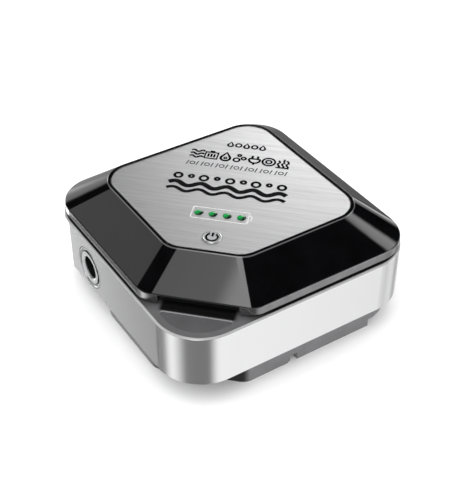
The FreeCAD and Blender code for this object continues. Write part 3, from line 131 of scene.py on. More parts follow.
def spread(material, value, low, high, from_low=0.3, from_high=0.7):
    """Maps a noise value to a range."""
    made = add_node(material, "ShaderNodeMapRange",
                    {"From Min": from_low, "From Max": from_high, "To Min": low, "To Max": high})
    wire(material, value, made.inputs["Value"])
    return made.outputs["Result"]


def tint(material, value, dark, light, from_low=0.3, from_high=0.7):
    """Runs from one colour to another with a value."""
    made = add_node(material, "ShaderNodeValToRGB")
    made.color_ramp.elements[0].position = from_low
    made.color_ramp.elements[1].position = from_high
    made.color_ramp.elements[0].color = (*dark, 1)
    made.color_ramp.elements[1].color = (*light, 1)
    wire(material, value, made.inputs["Fac"])
    return made.outputs["Color"]


def relief(material, shader, height, strength, distance, edge=0.0):
    """Bumps the surface by a height; an edge radius also softens the piece's edges."""
    made = add_node(material, "ShaderNodeBump", {"Strength": strength, "Distance": distance})
    wire(material, height, made.inputs["Height"])
    wire(material, made.outputs["Normal"], shader.inputs["Normal"])
    if edge:
        soft = add_node(material, "ShaderNodeBevel", {"Radius": edge}, samples=6)
        wire(material, soft.outputs["Normal"], made.inputs["Normal"])


def axes(material, vector):
    split = add_node(material, "ShaderNodeSeparateXYZ")
    wire(material, vector, split.inputs["Vector"])
    return split.outputs["X"], split.outputs["Y"], split.outputs["Z"]


def below(material, vector, height, soft):
    """1 under a height in an object-space vector and 0 above it; a negative soft swaps them."""
    z = axes(material, vector)[2]
    return spread(material, z, 1.0, 0.0, height - soft, height + soft)


def facing(material, ahead, low, high):
    """0 to 1 as the surface turns towards a direction, between two cosines."""
    face = add_node(material, "ShaderNodeNewGeometry")
    dot = add_node(material, "ShaderNodeVectorMath", operation="DOT_PRODUCT")
    dot.inputs[1].default_value = ahead
    wire(material, face.outputs["Normal"], dot.inputs[0])
    return spread(material, dot.outputs["Value"], 0.0, 1.0, low, high)


def math_node(material, operation, *values):
    """Arithmetic on sockets and plain numbers."""
    made = add_node(material, "ShaderNodeMath", operation=operation)
    for socket, value in zip(made.inputs, values):
        if isinstance(value, (int, float)):
            socket.default_value = value
        else:
            wire(material, value, socket)
    return made.outputs["Value"]


def diagonals(material, vector):
    """How far x and y differ, and their sum: places along and out from the front corner."""
    x, y, _ = axes(material, vector)
    aside = math_node(material, "ABSOLUTE", math_node(material, "SUBTRACT", x, y))
    return aside, math_node(material, "ADD", x, y)


def blend_colors(material, share, first, second):
    made = add_node(material, "ShaderNodeMix", data_type="RGBA")
    wire(material, share, made.inputs["Factor"])
    for color, socket in ((first, made.inputs[6]), (second, made.inputs[7])):
        if isinstance(color, tuple):
            socket.default_value = (*color, 1)
        else:
            wire(material, color, socket)
    return made.outputs[2]


def per_mm(*pitches):
    """Scale that gives one noise cell for each pitch in millimetres."""
    return tuple(1 / (pitch * MM) for pitch in pitches)


def shade(color, factor):
    return tuple(channel * factor for channel in color)


# ------------------------------------------------------------------ finishes
def moulded(name, color, roughness, grain_mm=0.35, grain_depth=0.012, mottle=0.12, gloss=0.5):
    """Moulded plastic: a fine spark-eroded grain, slight mottling and uneven sheen."""
    material, shader = new_material(name)
    cloud = noise(material, object_space(material, per_mm(6, 6, 6)), detail=4)
    grain = noise(material, object_space(material, per_mm(grain_mm, grain_mm, grain_mm)), 2)
    wire(material, tint(material, cloud, shade(color, 1 - mottle), shade(color, 1 + mottle)),
         shader.inputs["Base Color"])
    wire(material, spread(material, grain, roughness - 0.05, roughness + 0.05),
         shader.inputs["Roughness"])
    shader.inputs["Specular IOR Level"].default_value = gloss
    relief(material, shader, grain, 0.5, grain_depth * MM)
    return material


def glossy(name, color, roughness, mottle=0.1):
    """Polished plastic: almost smooth, with the faint waviness of a moulding."""
    material, shader = new_material(name)
    cloud = noise(material, object_space(material, per_mm(9, 9, 9)), detail=3)
    wave = noise(material, object_space(material, per_mm(3.5, 3.5, 3.5)), detail=1)
    wire(material, tint(material, cloud, shade(color, 1 - mottle), shade(color, 1 + mottle)),
         shader.inputs["Base Color"])
    wire(material, spread(material, cloud, roughness * 0.75, roughness * 1.35),
         shader.inputs["Roughness"])
    relief(material, shader, wave, 0.15, 0.004 * MM)
    return material


def metal(name, color, roughness, stretch_mm, contrast=0.08, depth=0.003):
    """Metal with a directional finish: stretch_mm is the streak size along x, y and z."""
    material, shader = new_material(name)
    streak = noise(material, object_space(material, per_mm(*stretch_mm)), detail=4,
                   roughness=0.65)
    wire(material, tint(material, streak, shade(color, 1 - contrast), shade(color, 1 + contrast)),
         shader.inputs["Base Color"])
    wire(material, spread(material, streak, roughness + 0.06, roughness - 0.06),
         shader.inputs["Roughness"])
    shader.inputs["Metallic"].default_value = 1.0
    relief(material, shader, streak, 0.5, depth * MM)
    return material


def cover_finish():
    """Piano-black slopes and rim, a painted highlight line round the rim's edge, and a satin skirt.

    The notch in the skirt keeps the piano black as painted shade, and the skirt's colour is painted
    lighter on its -X side as painted light.
    """
    material, shader = new_material("gloss_black")
    vector = object_space(material)
    aside, total = diagonals(material, vector)
    # Painted shade: in the notch the skirt keeps the piano black.
    outside = spread(material, aside, 0.0, 1.0, NOTCH_END, NOTCH_END + 0.1 * MM)
    behind = spread(material, total, 0.0, 1.0, NOTCH_BACK - 0.5 * MM, NOTCH_BACK + 0.5 * MM)
    clear = math_node(material, "MAXIMUM", outside, behind)
    skirt = math_node(material, "MULTIPLY", clear,
                      below(material, vector, SKIRT_TOP, 0.05 * MM))
    cloud = noise(material, object_space(material, per_mm(9, 9, 9)), detail=3)
    wave = noise(material, object_space(material, per_mm(3.5, 3.5, 3.5)), detail=1)
    black = tint(material, cloud, (0.0014, 0.0014, 0.0016), (0.0026, 0.0026, 0.003))
    plain = tint(material, wave, (0.21, 0.21, 0.215), (0.25, 0.25, 0.255))
    # Painted light: the satin skirt's colour is painted lighter where it faces -X.
    satin_painted_light = blend_colors(material, facing(material, (-1, 0, 0), 0.75, 1.0), plain,
                         (0.62, 0.62, 0.625))
    # Painted highlight: a pale grey line on the slopes just under the rim's top edge.
    sloping = facing(material, (0, 0, 1), 0.97, 0.93)
    high = below(material, vector, RIM_TOP - PAINTED_RIM_LINE, -0.03 * MM)
    edge = math_node(material, "MULTIPLY", high, sloping)
    dark = blend_colors(material, edge, black, (0.085, 0.085, 0.088))
    wire(material, blend_colors(material, skirt, dark, satin_painted_light), shader.inputs["Base Color"])
    wire(material, skirt, shader.inputs["Metallic"])
    sheen = spread(material, cloud, 0.025, 0.05)
    wire(material, math_node(material, "MULTIPLY_ADD", skirt, 0.16, sheen),
         shader.inputs["Roughness"])
    relief(material, shader, wave, 0.1, 0.003 * MM, 0.35 * MM)
    return material


def deck_finish():
    """Semi-gloss dark deck with painted light: a pale painted highlight on the thumb recess's step,
    painted shade on its floor, and black painted shade under the notch and along the side strips.
    """
    material, shader = new_material("deck_grey")
    vector = object_space(material)
    cloud = noise(material, object_space(material, per_mm(7, 7, 7)), detail=4)
    grain = noise(material, object_space(material, per_mm(0.28, 0.28, 0.28)), detail=2)
    aside, total = diagonals(material, vector)
    # Painted light: the thumb recess's floor is painted darker as shade, and its step pale as a
    # highlight.
    painted_floor_shade_mask = below(material, vector, DECK_TOP - 0.5 * MM, 0.02 * MM)
    painted_step_highlight_mask = below(material, vector, DECK_TOP - 0.06 * MM, 0.02 * MM)
    border = tint(material, cloud, (0.08, 0.08, 0.082), (0.104, 0.104, 0.107))
    floor = tint(material, cloud, (0.062, 0.062, 0.064), (0.084, 0.084, 0.087))
    border_with_painted_step = blend_colors(material, painted_step_highlight_mask, border, (0.42, 0.42, 0.43))
    surface = blend_colors(material, painted_floor_shade_mask, border_with_painted_step, floor)
    # Painted shade: black on the deck behind the notch, and dark along the side strips under the
    # skirt.
    inside = spread(material, aside, 1.0, 0.0, NOTCH_END - 2.2 * MM, NOTCH_END - 0.4 * MM)
    past_edge = spread(material, total, 0.0, 1.0, RECESS_EDGE + 0.2 * MM, RECESS_EDGE + 0.5 * MM)
    shaded = math_node(material, "MULTIPLY", inside, past_edge)
    painted_notch_shade = blend_colors(material, shaded, surface, (0.004, 0.004, 0.004))
    along = spread(material, aside, 0.0, 1.0, NOTCH_END + 3 * MM, NOTCH_END + 14 * MM)
    wire(material, blend_colors(material, along, painted_notch_shade, (0.01, 0.01, 0.01)),
         shader.inputs["Base Color"])
    wire(material, spread(material, grain, 0.30, 0.38), shader.inputs["Roughness"])
    relief(material, shader, grain, 0.4, 0.005 * MM)
    return material


def ink(name, color):
    """Printed ink: dense, smooth, and a little uneven."""
    material, shader = new_material(name)
    cloud = noise(material, object_space(material, per_mm(0.5, 0.5, 0.5)), detail=3)
    wire(material, tint(material, cloud, shade(color, 0.8), shade(color, 1.2)),
         shader.inputs["Base Color"])
    wire(material, spread(material, cloud, 0.08, 0.14), shader.inputs["Roughness"])
    relief(material, shader, cloud, 0.1, 0.002 * MM)
    return material


def satin_band():
    """Satin aluminium, blasted fine and brushed level round the case; its top edge is painted dark
    and non-metallic, as painted shade.
    """
    material, shader = new_material("silver_band")
    vector = object_space(material)
    streak = noise(material, object_space(material, per_mm(5.0, 5.0, 0.12)), 4, 0.65)
    # Painted shade: the band's top edge is painted dark and non-metallic.
    edge = below(material, vector, BAND_TOP - 0.32 * MM, 0.02 * MM)
    bright = tint(material, streak, (0.798, 0.798, 0.803), (0.822, 0.822, 0.827))
    painted_top_shade = tint(material, streak, (0.30, 0.30, 0.303), (0.36, 0.36, 0.363))
    wire(material, blend_colors(material, edge, painted_top_shade, bright), shader.inputs["Base Color"])
    wire(material, spread(material, streak, 0.257, 0.243), shader.inputs["Roughness"])
    wire(material, edge, shader.inputs["Metallic"])
    shader.inputs["Anisotropic"].default_value = 0.55
    shader.inputs["Anisotropic Rotation"].default_value = 0.25
    relief(material, shader, streak, 0.3, 0.0002 * MM)
    tangent = add_node(material, "ShaderNodeTangent", direction_type="RADIAL", axis="Z")
    wire(material, tangent.outputs["Tangent"], shader.inputs["Tangent"])
    return material


def port_finish():
    """Satin rings of the two ports with dark seams between them, and painted shade: black inside
    their wells.
    """
    material, shader = new_material("port_silver")
    vector = object_space(material)
    streak = noise(material, object_space(material, per_mm(2.0, 2.0, 0.2)), 4, 0.65)
    x, y, z = axes(material, vector)
    depth = math_node(material, "ABSOLUTE", x)
    port_y = spread(material, x, PORT_CENTRES[0].y, PORT_CENTRES[1].y, -MM, MM)
    aside = math_node(material, "SUBTRACT", y, port_y)
    above = math_node(material, "SUBTRACT", z, PORT_CENTRES[0].z)
    across = math_node(material, "MULTIPLY", aside, aside)
    upright = math_node(material, "MULTIPLY", above, above)
    radius = math_node(material, "SQRT", math_node(material, "ADD", across, upright))
    # Painted shade: deeper than 0.7 mm into each well the bezel is painted black and non-metallic.
    painted_shade_depth = PORT_FACE - 0.7 * MM
    outer = spread(material, depth, 0.0, 1.0, painted_shade_depth, painted_shade_depth + 0.1 * MM)
    bright = tint(material, streak, (0.78, 0.785, 0.79), (0.86, 0.865, 0.87))
    ringed = bright
    for seam in (PORT_SEAM, PORT_RADIUS):
        off = math_node(material, "ABSOLUTE", math_node(material, "SUBTRACT", radius, seam))
        near = spread(material, off, 1.0, 0.0, 0.18 * MM, 0.28 * MM)
        ringed = blend_colors(material, near, ringed, (0.09, 0.09, 0.09))
    wire(material, blend_colors(material, outer, (0.006, 0.006, 0.006), ringed),
         shader.inputs["Base Color"])
    wire(material, outer, shader.inputs["Metallic"])
    wire(material, spread(material, streak, 0.42, 0.36), shader.inputs["Roughness"])
    shader.inputs["Specular IOR Level"].default_value = 0.15
    relief(material, shader, streak, 0.5, 0.001 * MM)
    return material


def brushed_plate():
    """Face plate, brushed along the lamp row, with longer soft streaks over the fine ones."""
    material, shader = new_material("brushed_silver")
    fine = noise(material, object_space(material, per_mm(11.0, 0.2, 4.0), -BRUSH_ANGLE), 5, 0.7)
    broad = noise(material, object_space(material, per_mm(30.0, 1.5, 8.0), -BRUSH_ANGLE), 3, 0.6)
    both = add_node(material, "ShaderNodeMix", data_type="FLOAT")
    both.inputs["Factor"].default_value = 0.45
    wire(material, fine, both.inputs["A"])
    wire(material, broad, both.inputs["B"])
    mixed = both.outputs["Result"]
    wire(material, tint(material, mixed, (0.56, 0.56, 0.565), (0.82, 0.82, 0.825), 0.34, 0.66),
         shader.inputs["Base Color"])
    wire(material, spread(material, mixed, 0.42, 0.32), shader.inputs["Roughness"])
    shader.inputs["Metallic"].default_value = 1.0
    relief(material, shader, mixed, 0.6, 0.004 * MM)
    return material


def lamp_lens():
    """Tinted lamp body with a painted highlight: brightest on the side of the dome that faces up and
    back.
    """
    material, shader = new_material("green_lens")
    cloud = noise(material, object_space(material, per_mm(0.8, 0.8, 0.8)), detail=2)
    # Painted highlight: the lens colour is lighter where the dome faces up and back.
    lens_painted_light = facing(material, (-0.15, 0.50, 0.85), 0.30, 1.0)
    lift = math_node(material, "MULTIPLY_ADD", cloud, 0.12, lens_painted_light)
    wire(material, tint(material, lift, (0.0, 0.008, 0.002), (0.004, 0.30, 0.06), 0.30, 1.05),
         shader.inputs["Base Color"])
    wire(material, spread(material, cloud, 0.16, 0.24), shader.inputs["Roughness"])
    shader.inputs["Specular IOR Level"].default_value = 0.3
    return material


def plinth_finish(name, light, dark):
    """Moulded grey of the base, with painted shade: darkest on the corner cut off at the front."""
    material, shader = new_material(name)
    cloud = noise(material, object_space(material, per_mm(6, 6, 6)), detail=4)
    grain = noise(material, object_space(material, per_mm(0.4, 0.4, 0.4)), 2)
    # Painted shade: the corner cut off at the front is painted near black.
    painted_cut_shade = facing(material, (-0.707, -0.707, 0), 0.78, 0.98)
    plain = tint(material, cloud, shade(light, 0.9), shade(light, 1.1))
    wire(material, blend_colors(material, painted_cut_shade, plain, dark), shader.inputs["Base Color"])
    wire(material, spread(material, grain, 0.40, 0.50), shader.inputs["Roughness"])
    relief(material, shader, grain, 0.5, 0.012 * MM)
    return material


def rubber(name, color, roughness=0.6):
    """Soft rubber: a coarser bloom and less sheen than hard plastic."""
    return moulded(name, color, roughness, grain_mm=0.22, grain_depth=0.02, mottle=0.18,
                   gloss=0.35)


def felt_finish():
    """Matted fibres of the intake filter."""
    material, shader = new_material("felt")
    fibre = noise(material, object_space(material, per_mm(0.5, 0.12, 0.3)), 6, 0.8, 1.5)
    wire(material, tint(material, fibre, (0.50, 0.50, 0.47), (0.90, 0.90, 0.86)),
         shader.inputs["Base Color"])
    wire(material, spread(material, fibre, 0.85, 1.0), shader.inputs["Roughness"])
    shader.inputs["Sheen Weight"].default_value = 0.3
    relief(material, shader, fibre, 0.9, 0.15 * MM)
    return material


def banded(name, dark, light, pitch_mm, axis, roughness, metallic, depth):
    """Fine even lines square to an axis: lamination edges or wire turns."""
    material, shader = new_material(name)
    lines = add_node(material, "ShaderNodeTexWave",
                     {"Scale": math.tau / (20 * pitch_mm * MM),
                      "Distortion": 0.4, "Detail": 2.0, "Detail Scale": 1.5},
                     wave_type="BANDS", bands_direction=axis)
    wire(material, object_space(material), lines.inputs["Vector"])
    wire(material, tint(material, lines.outputs["Fac"], dark, light, 0.1, 0.8),
         shader.inputs["Base Color"])
    wire(material, spread(material, lines.outputs["Fac"], roughness + 0.1, roughness, 0, 1),
         shader.inputs["Roughness"])
    shader.inputs["Metallic"].default_value = metallic
    relief(material, shader, lines.outputs["Fac"], 0.8, depth * MM)
    return material


def silicone():
    """Milky soft tube and valve discs."""
    material, shader = new_material("soft_silicone")
    cloud = noise(material, object_space(material, per_mm(2, 2, 2)), detail=3)
    wire(material, tint(material, cloud, (0.68, 0.71, 0.69), (0.82, 0.85, 0.83)),
         shader.inputs["Base Color"])
    wire(material, spread(material, cloud, 0.32, 0.45), shader.inputs["Roughness"])
    shader.inputs["Subsurface Weight"].default_value = 0.3
    shader.inputs["Subsurface Scale"].default_value = 1.0 * MM
    relief(material, shader, cloud, 0.3, 0.02 * MM)
    return material


FINISHES = {
    "silver_band": satin_band(),
    "brushed_silver": brushed_plate(),
    "port_silver": port_finish(),
    "button_silver": metal("button_silver", (0.62, 0.625, 0.63), 0.44, (0.3, 0.3, 0.3),
                           contrast=0.06, depth=0.001),
    "gloss_black": cover_finish(),
    "deck_grey": deck_finish(),
    # The dark colours below are painted shade on the front corner cut of the base and feet.
    "base_grey": plinth_finish("base_grey", (0.155, 0.155, 0.16), (0.012, 0.012, 0.012)),
    "foot_rubber": plinth_finish("foot_rubber", (0.15, 0.15, 0.155), (0.012, 0.012, 0.012)),
    "black_rubber": rubber("black_rubber", (0.02, 0.02, 0.02)),
    "green_lens": lamp_lens(),
    "felt": felt_finish(),
    "inner_black": moulded("inner_black", (0.012, 0.012, 0.013), 0.6, 0.4, 0.01, gloss=0.12),
    "frame_plastic": moulded("frame_plastic", (0.55, 0.57, 0.59), 0.45, 0.5, 0.012),
    "lever_plastic": moulded("lever_plastic", (0.07, 0.07, 0.08), 0.5, 0.25, 0.02),
    "white_plastic": moulded("white_plastic", (0.80, 0.79, 0.75), 0.4, 0.5, 0.01, 0.04),
    "board_green": glossy("board_green", (0.015, 0.17, 0.06), 0.22, 0.25),
    "chip_black": moulded("chip_black", (0.015, 0.015, 0.017), 0.5, 0.2, 0.01),
    "capacitor_sleeve": glossy("capacitor_sleeve", (0.02, 0.03, 0.09), 0.2),
    "cell_sleeve": glossy("cell_sleeve", (0.03, 0.16, 0.45), 0.16),
    "contact_metal": metal("contact_metal", (0.78, 0.77, 0.74), 0.35, (1.0, 1.0, 1.0),
                           contrast=0.06),
    "screw_steel": metal("screw_steel", (0.56, 0.565, 0.57), 0.3, (0.5, 0.5, 0.1),
                         contrast=0.12),
    "core_steel": banded("core_steel", (0.14, 0.145, 0.15), (0.42, 0.43, 0.45), 0.5, "Z", 0.35,
                         1.0, 0.05),
    "copper_wire": banded("copper_wire", (0.22, 0.07, 0.03), (0.78, 0.36, 0.18), 0.22, "Y", 0.28,
                          1.0, 0.08),
    "magnet": metal("magnet", (0.72, 0.72, 0.73), 0.12, (3.0, 3.0, 3.0), contrast=0.04),
    "soft_silicone": silicone(),
    "lead_red": rubber("lead_red", (0.5, 0.02, 0.02), 0.45),
}


INKS = {
    "gloss_black": ink("ink_black", (0.006, 0.006, 0.0065)),
    "base_grey": ink("ink_grey", (0.07, 0.07, 0.075)),
    "white_plastic": ink("ink_pale", (0.75, 0.75, 0.74)),
}


def new_object(name, data):
    made = bpy.data.objects.new(name, data)
    bpy.context.scene.collection.objects.link(made)
    return made


def new_piece(name, mesh):
    """Turns a finished bmesh into an object, with its faces outwards."""
    bmesh.ops.recalc_face_normals(mesh, faces=mesh.faces)
    data = bpy.data.meshes.new(name)
    mesh.to_mesh(data)
    mesh.free()
    return new_object(name, data)


def dress(piece, slot, finishes):
    """Gives a piece the finish of its slot."""
    piece.data.materials.clear()
    piece.data.materials.append(finishes[slot])


def dress_nodes():
    for row in frame["record"]["subparts"]:
        dress(NODES[row["node"]], row["material_slot"], FINISHES)


# ------------------------------------------------------------------ printed marks
def on_face(centre, along, up_page, z):
    """Point on a level face, from its place along the lamp row and away from the front corner."""
    point = centre + ROW * along + AWAY * up_page
    return Vector((point.x, point.y, z))


def arc_points(radius, start_deg, end_deg, centre=(0.0, 0.0), count=40):
    points = []
    for index in range(count + 1):
        angle = math.radians(start_deg + (end_deg - start_deg) * index / count)
        points.append((centre[0] + radius * math.cos(angle), centre[1] + radius * math.sin(angle)))
    return points


def circle_points(radius, centre, count):
    return arc_points(radius, 0, 360, centre, count)[:-1]


def round_rectangle(width, height, radius):
    points = []
    for quarter, (side_x, side_y) in enumerate(((1, 1), (-1, 1), (-1, -1), (1, -1))):
        middle = (side_x * (width / 2 - radius), side_y * (height / 2 - radius))
        points += arc_points(radius, 90 * quarter, 90 * quarter + 90, middle, 6)
    return points


def stroke_sides(points, width, closed):
    """Points either side of a line on the page, half a stroke away."""
    left, right = [], []
    count = len(points)
    for index, (x, y) in enumerate(points):
        before = points[index - 1] if closed or index else points[0]
        after = points[(index + 1) % count] if closed or index < count - 1 else points[-1]
        heading = Vector((after[0] - before[0], after[1] - before[1])).normalized()
        side = Vector((-heading.y, heading.x)) * (width / 2)
        left.append((x + side.x, y + side.y))
        right.append((x - side.x, y - side.y))
    return left, right


def add_stroke(mesh, place, points, width, closed):
    """Raised line with a flat top and square sides."""
    left, right = stroke_sides(points, width, closed)
    rails = [[mesh.verts.new(place(*point, height)) for point in side]
             for side, height in ((left, 0), (left, INK_T), (right, INK_T), (right, 0))]
    count = len(points)
    for index in range(count if closed else count - 1):
        ahead = (index + 1) % count
        for low, high in ((0, 1), (1, 2), (2, 3)):
            mesh.faces.new((rails[low][index], rails[high][index], rails[high][ahead],
                            rails[low][ahead]))
    if not closed:
        for end in (0, count - 1):
            mesh.faces.new([rail[end] for rail in rails])


def print_mark(name, slot, body, centre, z, strokes):
    """One printed mark; each stroke is (points, width, closed)."""
    def place(along, up_page, height):
        return on_face(centre, along, up_page, z + height)

    mesh = bmesh.new()
    for points, width, closed in strokes:
        add_stroke(mesh, place, points, width, closed)
    piece = new_piece(name, mesh)
    dress(piece, slot, INKS)
    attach(piece, body)


def power_mark():
    """Ring broken by a bar, on the button's face."""
    radius = 1.95 * MM
    width = 0.75 * MM
    broken_ring = arc_points(radius, 122, 418)
    bar = [(0.0, 0.35 * MM), (0.0, 2.35 * MM)]
    print_mark("power_mark", "gloss_black", "power_button", BUTTON_CENTRE, BUTTON_DISH_Z,
               [(broken_ring, width, False), (bar, width, False)])


def battery_mark():
    """Thin pale outline of a battery round the four lamps, with its terminal at the right."""
    width, height, line = 19.5 * MM, 6.2 * MM, 0.24 * MM
    nub_w, nub_h = 1.0 * MM, 3.0 * MM
    outline = round_rectangle(width, height, 0.5 * MM)
    x = width / 2
    nub = [(x, -nub_h / 2), (x + nub_w, -nub_h / 2), (x + nub_w, nub_h / 2), (x, nub_h / 2)]
    print_mark("battery_mark", "white_plastic", "case", LAMP_ROW, PLATE_Z,
               [(outline, line, True), (nub, line, False)])


def wave_points(length, height, crests, lift=0.0, middle=0.0):
    count = int(crests * 16)
    points = []
    for index in range(count + 1):
        share = index / count
        points.append((middle + (share - 0.5) * length,
                       lift + height / 2 * math.sin(math.tau * crests * share)))
    return points


def in_mm(points):
    return [(x * MM, y * MM) for x, y in points]


def ring(x, y, radius, width):
    return in_mm(circle_points(radius, (x, y), 28)), width * MM, True


def line(points, width, closed=False):
    return in_mm(points), width * MM, closed


def drop_outline(x, y, radius):
    """Water drop with its point away from the front corner."""
    return [(x, y + 2.1 * radius)] + arc_points(radius, 150, 390, (x, y), 20)


def water_mark():
    """Bold waves with air bubbles over them, printed dark across the plate."""
    centre = on_face(Vector(), -1.0 * MM, 1.2 * MM, PLATE_Z)
    strokes = [line(wave_points(42, 2.2, 4.5, -0.3), 2.1),
               line(wave_points(42, 2.0, 4.5, -3.8), 1.5)]
    bubbles = [(-18.6, 4.3, 1.35), (-13.9, 4.6, 0.8), (-9.3, 4.2, 1.45), (-4.6, 4.8, 0.75),
               (0.2, 4.3, 1.4), (4.9, 4.6, 0.85), (9.5, 4.2, 1.45), (14.1, 4.8, 0.75),
               (18.7, 4.3, 1.35)]
    strokes += [ring(x, y, radius, 1.0) for x, y, radius in bubbles]
    print_mark("water_mark", "gloss_black", "case", centre, PLATE_Z, strokes)


def bubbles_icon(x):
    places = ((-1.1, -1.1, 1.1), (1.3, 0.2, 0.8), (-0.5, 1.9, 0.6))
    return [ring(x + right, up, radius, 0.6) for right, up, radius in places]


def waves_icon(x):
    return [line(wave_points(5.0, 1.0, 1.5, lift, x), 0.7) for lift in (-1.9, 0.0, 1.9)]


def drop_icon(x):
    return [line(drop_outline(x, -0.8, 1.7), 0.75, True), ring(x, -0.8, 0.5, 0.5)]


def cell_icon(x):
    box = [(x - 2.3, -2.2), (x + 2.3, -2.2), (x + 2.3, 1.7), (x - 2.3, 1.7)]
    bars = [line([(x + step, -1.3), (x + step, 0.8)], 0.6) for step in (-1.1, 0.0, 1.1)]
    return [line(box, 0.65, True), line([(x - 0.9, 2.3), (x + 0.9, 2.3)], 0.8)] + bars


def mains_icon(x):
    prongs = [line([(x + step, 1.0), (x + step, 2.7)], 0.7) for step in (-1.0, 1.0)]
    body = [(x - 2.0, 0.8), (x + 2.0, 0.8)] + arc_points(2.0, 0, -180, (x, 0.2), 16)
    return prongs + [line(body, 0.7, True), line([(x, -1.9), (x, -2.9)], 0.7)]


def outlet_icon(x):
    return [ring(x, 0.0, 2.3, 0.65), ring(x, 0.0, 1.0, 0.6)]


def plant_icon(x):
    stems = [line([(x + step, -2.7)] + [(x + step + 0.5 * math.sin(2.4 * y), y)
                                        for y in (-2.0, -1.2, -0.4, 0.4, 1.2, top)], 0.65)
             for step, top in ((-1.6, 1.6), (0.0, 2.8), (1.6, 2.0))]
    return stems + [line([(x - 2.4, -2.7), (x + 2.4, -2.7)], 0.6)]


def icon_row():
    """Seven plain pictograms: waves, cell, drop, air, mains plug, outlet and plants."""
    centre = on_face(Vector(), -0.3 * MM, 20.2 * MM, PLATE_Z)
    icons = (waves_icon, cell_icon, drop_icon, bubbles_icon, mains_icon, outlet_icon, plant_icon)
    pitch = 5.3
    strokes = []
    for index, icon in enumerate(icons):
        for points, width, closed in icon((index - (len(icons) - 1) / 2) * pitch):
            strokes.append((points, 1.25 * width, closed))
    print_mark("icon_row", "gloss_black", "case", centre, PLATE_Z, strokes)


def tick_row():
    """Fine row of ticks and small rings under the pictograms."""
    centre = on_face(Vector(), -0.4 * MM, 14.1 * MM, PLATE_Z)
    count = 21
    strokes = []
    for index in range(count):
        x = (index - (count - 1) / 2) * 1.8
        if index % 3 == 1:
            strokes.append(ring(x, 0.0, 0.85, 0.42))
        else:
            strokes.append(line([(x - 0.25, -1.3), (x + 0.25, 1.3)], 0.44))
    print_mark("tick_row", "base_grey", "case", centre, PLATE_Z, strokes)


def drops_mark():
    """Small row of drops and rings near the far corner."""
    centre = on_face(Vector(), 0.5 * MM, 28.6 * MM, PLATE_Z)
    strokes = []
    for index in range(5):
        x = (index - 2) * 3.0
        if index % 2:
            strokes.append(ring(x, -0.1, 1.05, 0.75))
        else:
            strokes.append(line(drop_outline(x, -0.5, 0.95), 0.75, True))
    print_mark("drops_mark", "gloss_black", "case", centre, PLATE_Z, strokes)


# ------------------------------------------------------------------ diaphragm
RUBBER_T = 0.6 * MM
BEAD_T = 1.0 * MM
ROLL_MID = 5.5 * MM                      # radius that the rolled fold runs at
ROLL_OUT = 2.1 * MM                      # outside and inside radii of the fold's section
ROLL_IN = ROLL_OUT - RUBBER_T
BOSS_BORE = 1.15 * MM


def fold_points(base, radius, start_deg, end_deg):
    """Points of the fold's section, from its open side (0 and 180) to its crest (90)."""
    return [(base - radius * math.sin(angle), ROLL_MID + radius * math.cos(angle))
            for angle in (math.radians(start_deg + (end_deg - start_deg) * step / 14)
                          for step in range(15))]


def turned_piece(name, profile, low, high, slot):
    """Closed section of (x, radius) points turned round the diaphragm's axis."""
    centre_y, centre_z = (low.y + high.y) / 2, (low.z + high.z) / 2
    mesh = bmesh.new()
    count = 96
    rows = []
    for x, radius in profile:
        rows.append([mesh.verts.new((x, centre_y + radius * math.cos(math.tau * turn / count),
                                     centre_z + radius * math.sin(math.tau * turn / count)))
                     for turn in range(count)])
    for index, row in enumerate(rows):
        after = rows[(index + 1) % len(rows)]
        apart = math.dist(profile[index], profile[(index + 1) % len(rows)])
        for turn in range(count):
            ahead = (turn + 1) % count
            face = mesh.faces.new((row[turn], row[ahead], after[ahead], after[turn]))
            face.smooth = apart < 0.3 * MM
    piece = new_piece(name, mesh)
    dress(piece, slot, FINISHES)
    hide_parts("diaphragm")
    return piece


def add_diaphragm():
    """Bead held by the case, boss carried by the armature, and the rolled fold between them."""
    low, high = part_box("diaphragm")
    slot = next(row["material_slot"] for row in frame["record"]["subparts"]
                if row["node"] == "diaphragm")
    middle_y, middle_z = (low.y + high.y) / 2, (low.z + high.z) / 2
    face = high.x - BEAD_T
    base = face + 0.2 * MM
    bead = high.y - middle_y

    outer = fold_points(base, ROLL_OUT, 90, 0)
    outer += [(face, ROLL_MID + ROLL_OUT), (face, bead), (high.x, bead),
              (high.x, ROLL_MID + ROLL_IN)]
    outer += fold_points(base, ROLL_IN, 0, 90)
    rim = turned_piece("diaphragm_rim", outer, low, high, slot)
    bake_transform(rim)

    inner = fold_points(base, ROLL_OUT, 90, 180) + fold_points(base, ROLL_IN, 180, 90)
    fold = turned_piece("diaphragm_fold", inner, low, high, slot)
    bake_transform(fold)

    boss = [(base, ROLL_MID - ROLL_IN), (face + RUBBER_T, ROLL_MID - ROLL_IN),
            (face + RUBBER_T, BOSS_BORE), (low.x, BOSS_BORE), (low.x, ROLL_MID - ROLL_OUT),
            (base, ROLL_MID - ROLL_OUT)]
    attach(turned_piece("diaphragm_boss", boss, low, high, slot), "armature")


# ------------------------------------------------------------------ studio
VIEW_AZIMUTH = math.radians(-32.66)      # the camera stands off the front corner, a little right
VIEW_ELEVATION = math.radians(39.25)
VIEW_DISTANCE = 373.6 * MM
AIM = Vector((-4.8, -4.8, 22.8)) * MM
LENS = 74.8
PALE_ROOM = 1.32
FLOOR_COLOR = (0.93, 0.93, 0.93, 1)


def direction(azimuth, elevation):
    """Unit vector from the object towards a place; azimuth 0 is towards -Y, 90 towards +X."""
    level = math.cos(elevation)
    return Vector((math.sin(azimuth) * level, -math.cos(azimuth) * level, math.sin(elevation)))


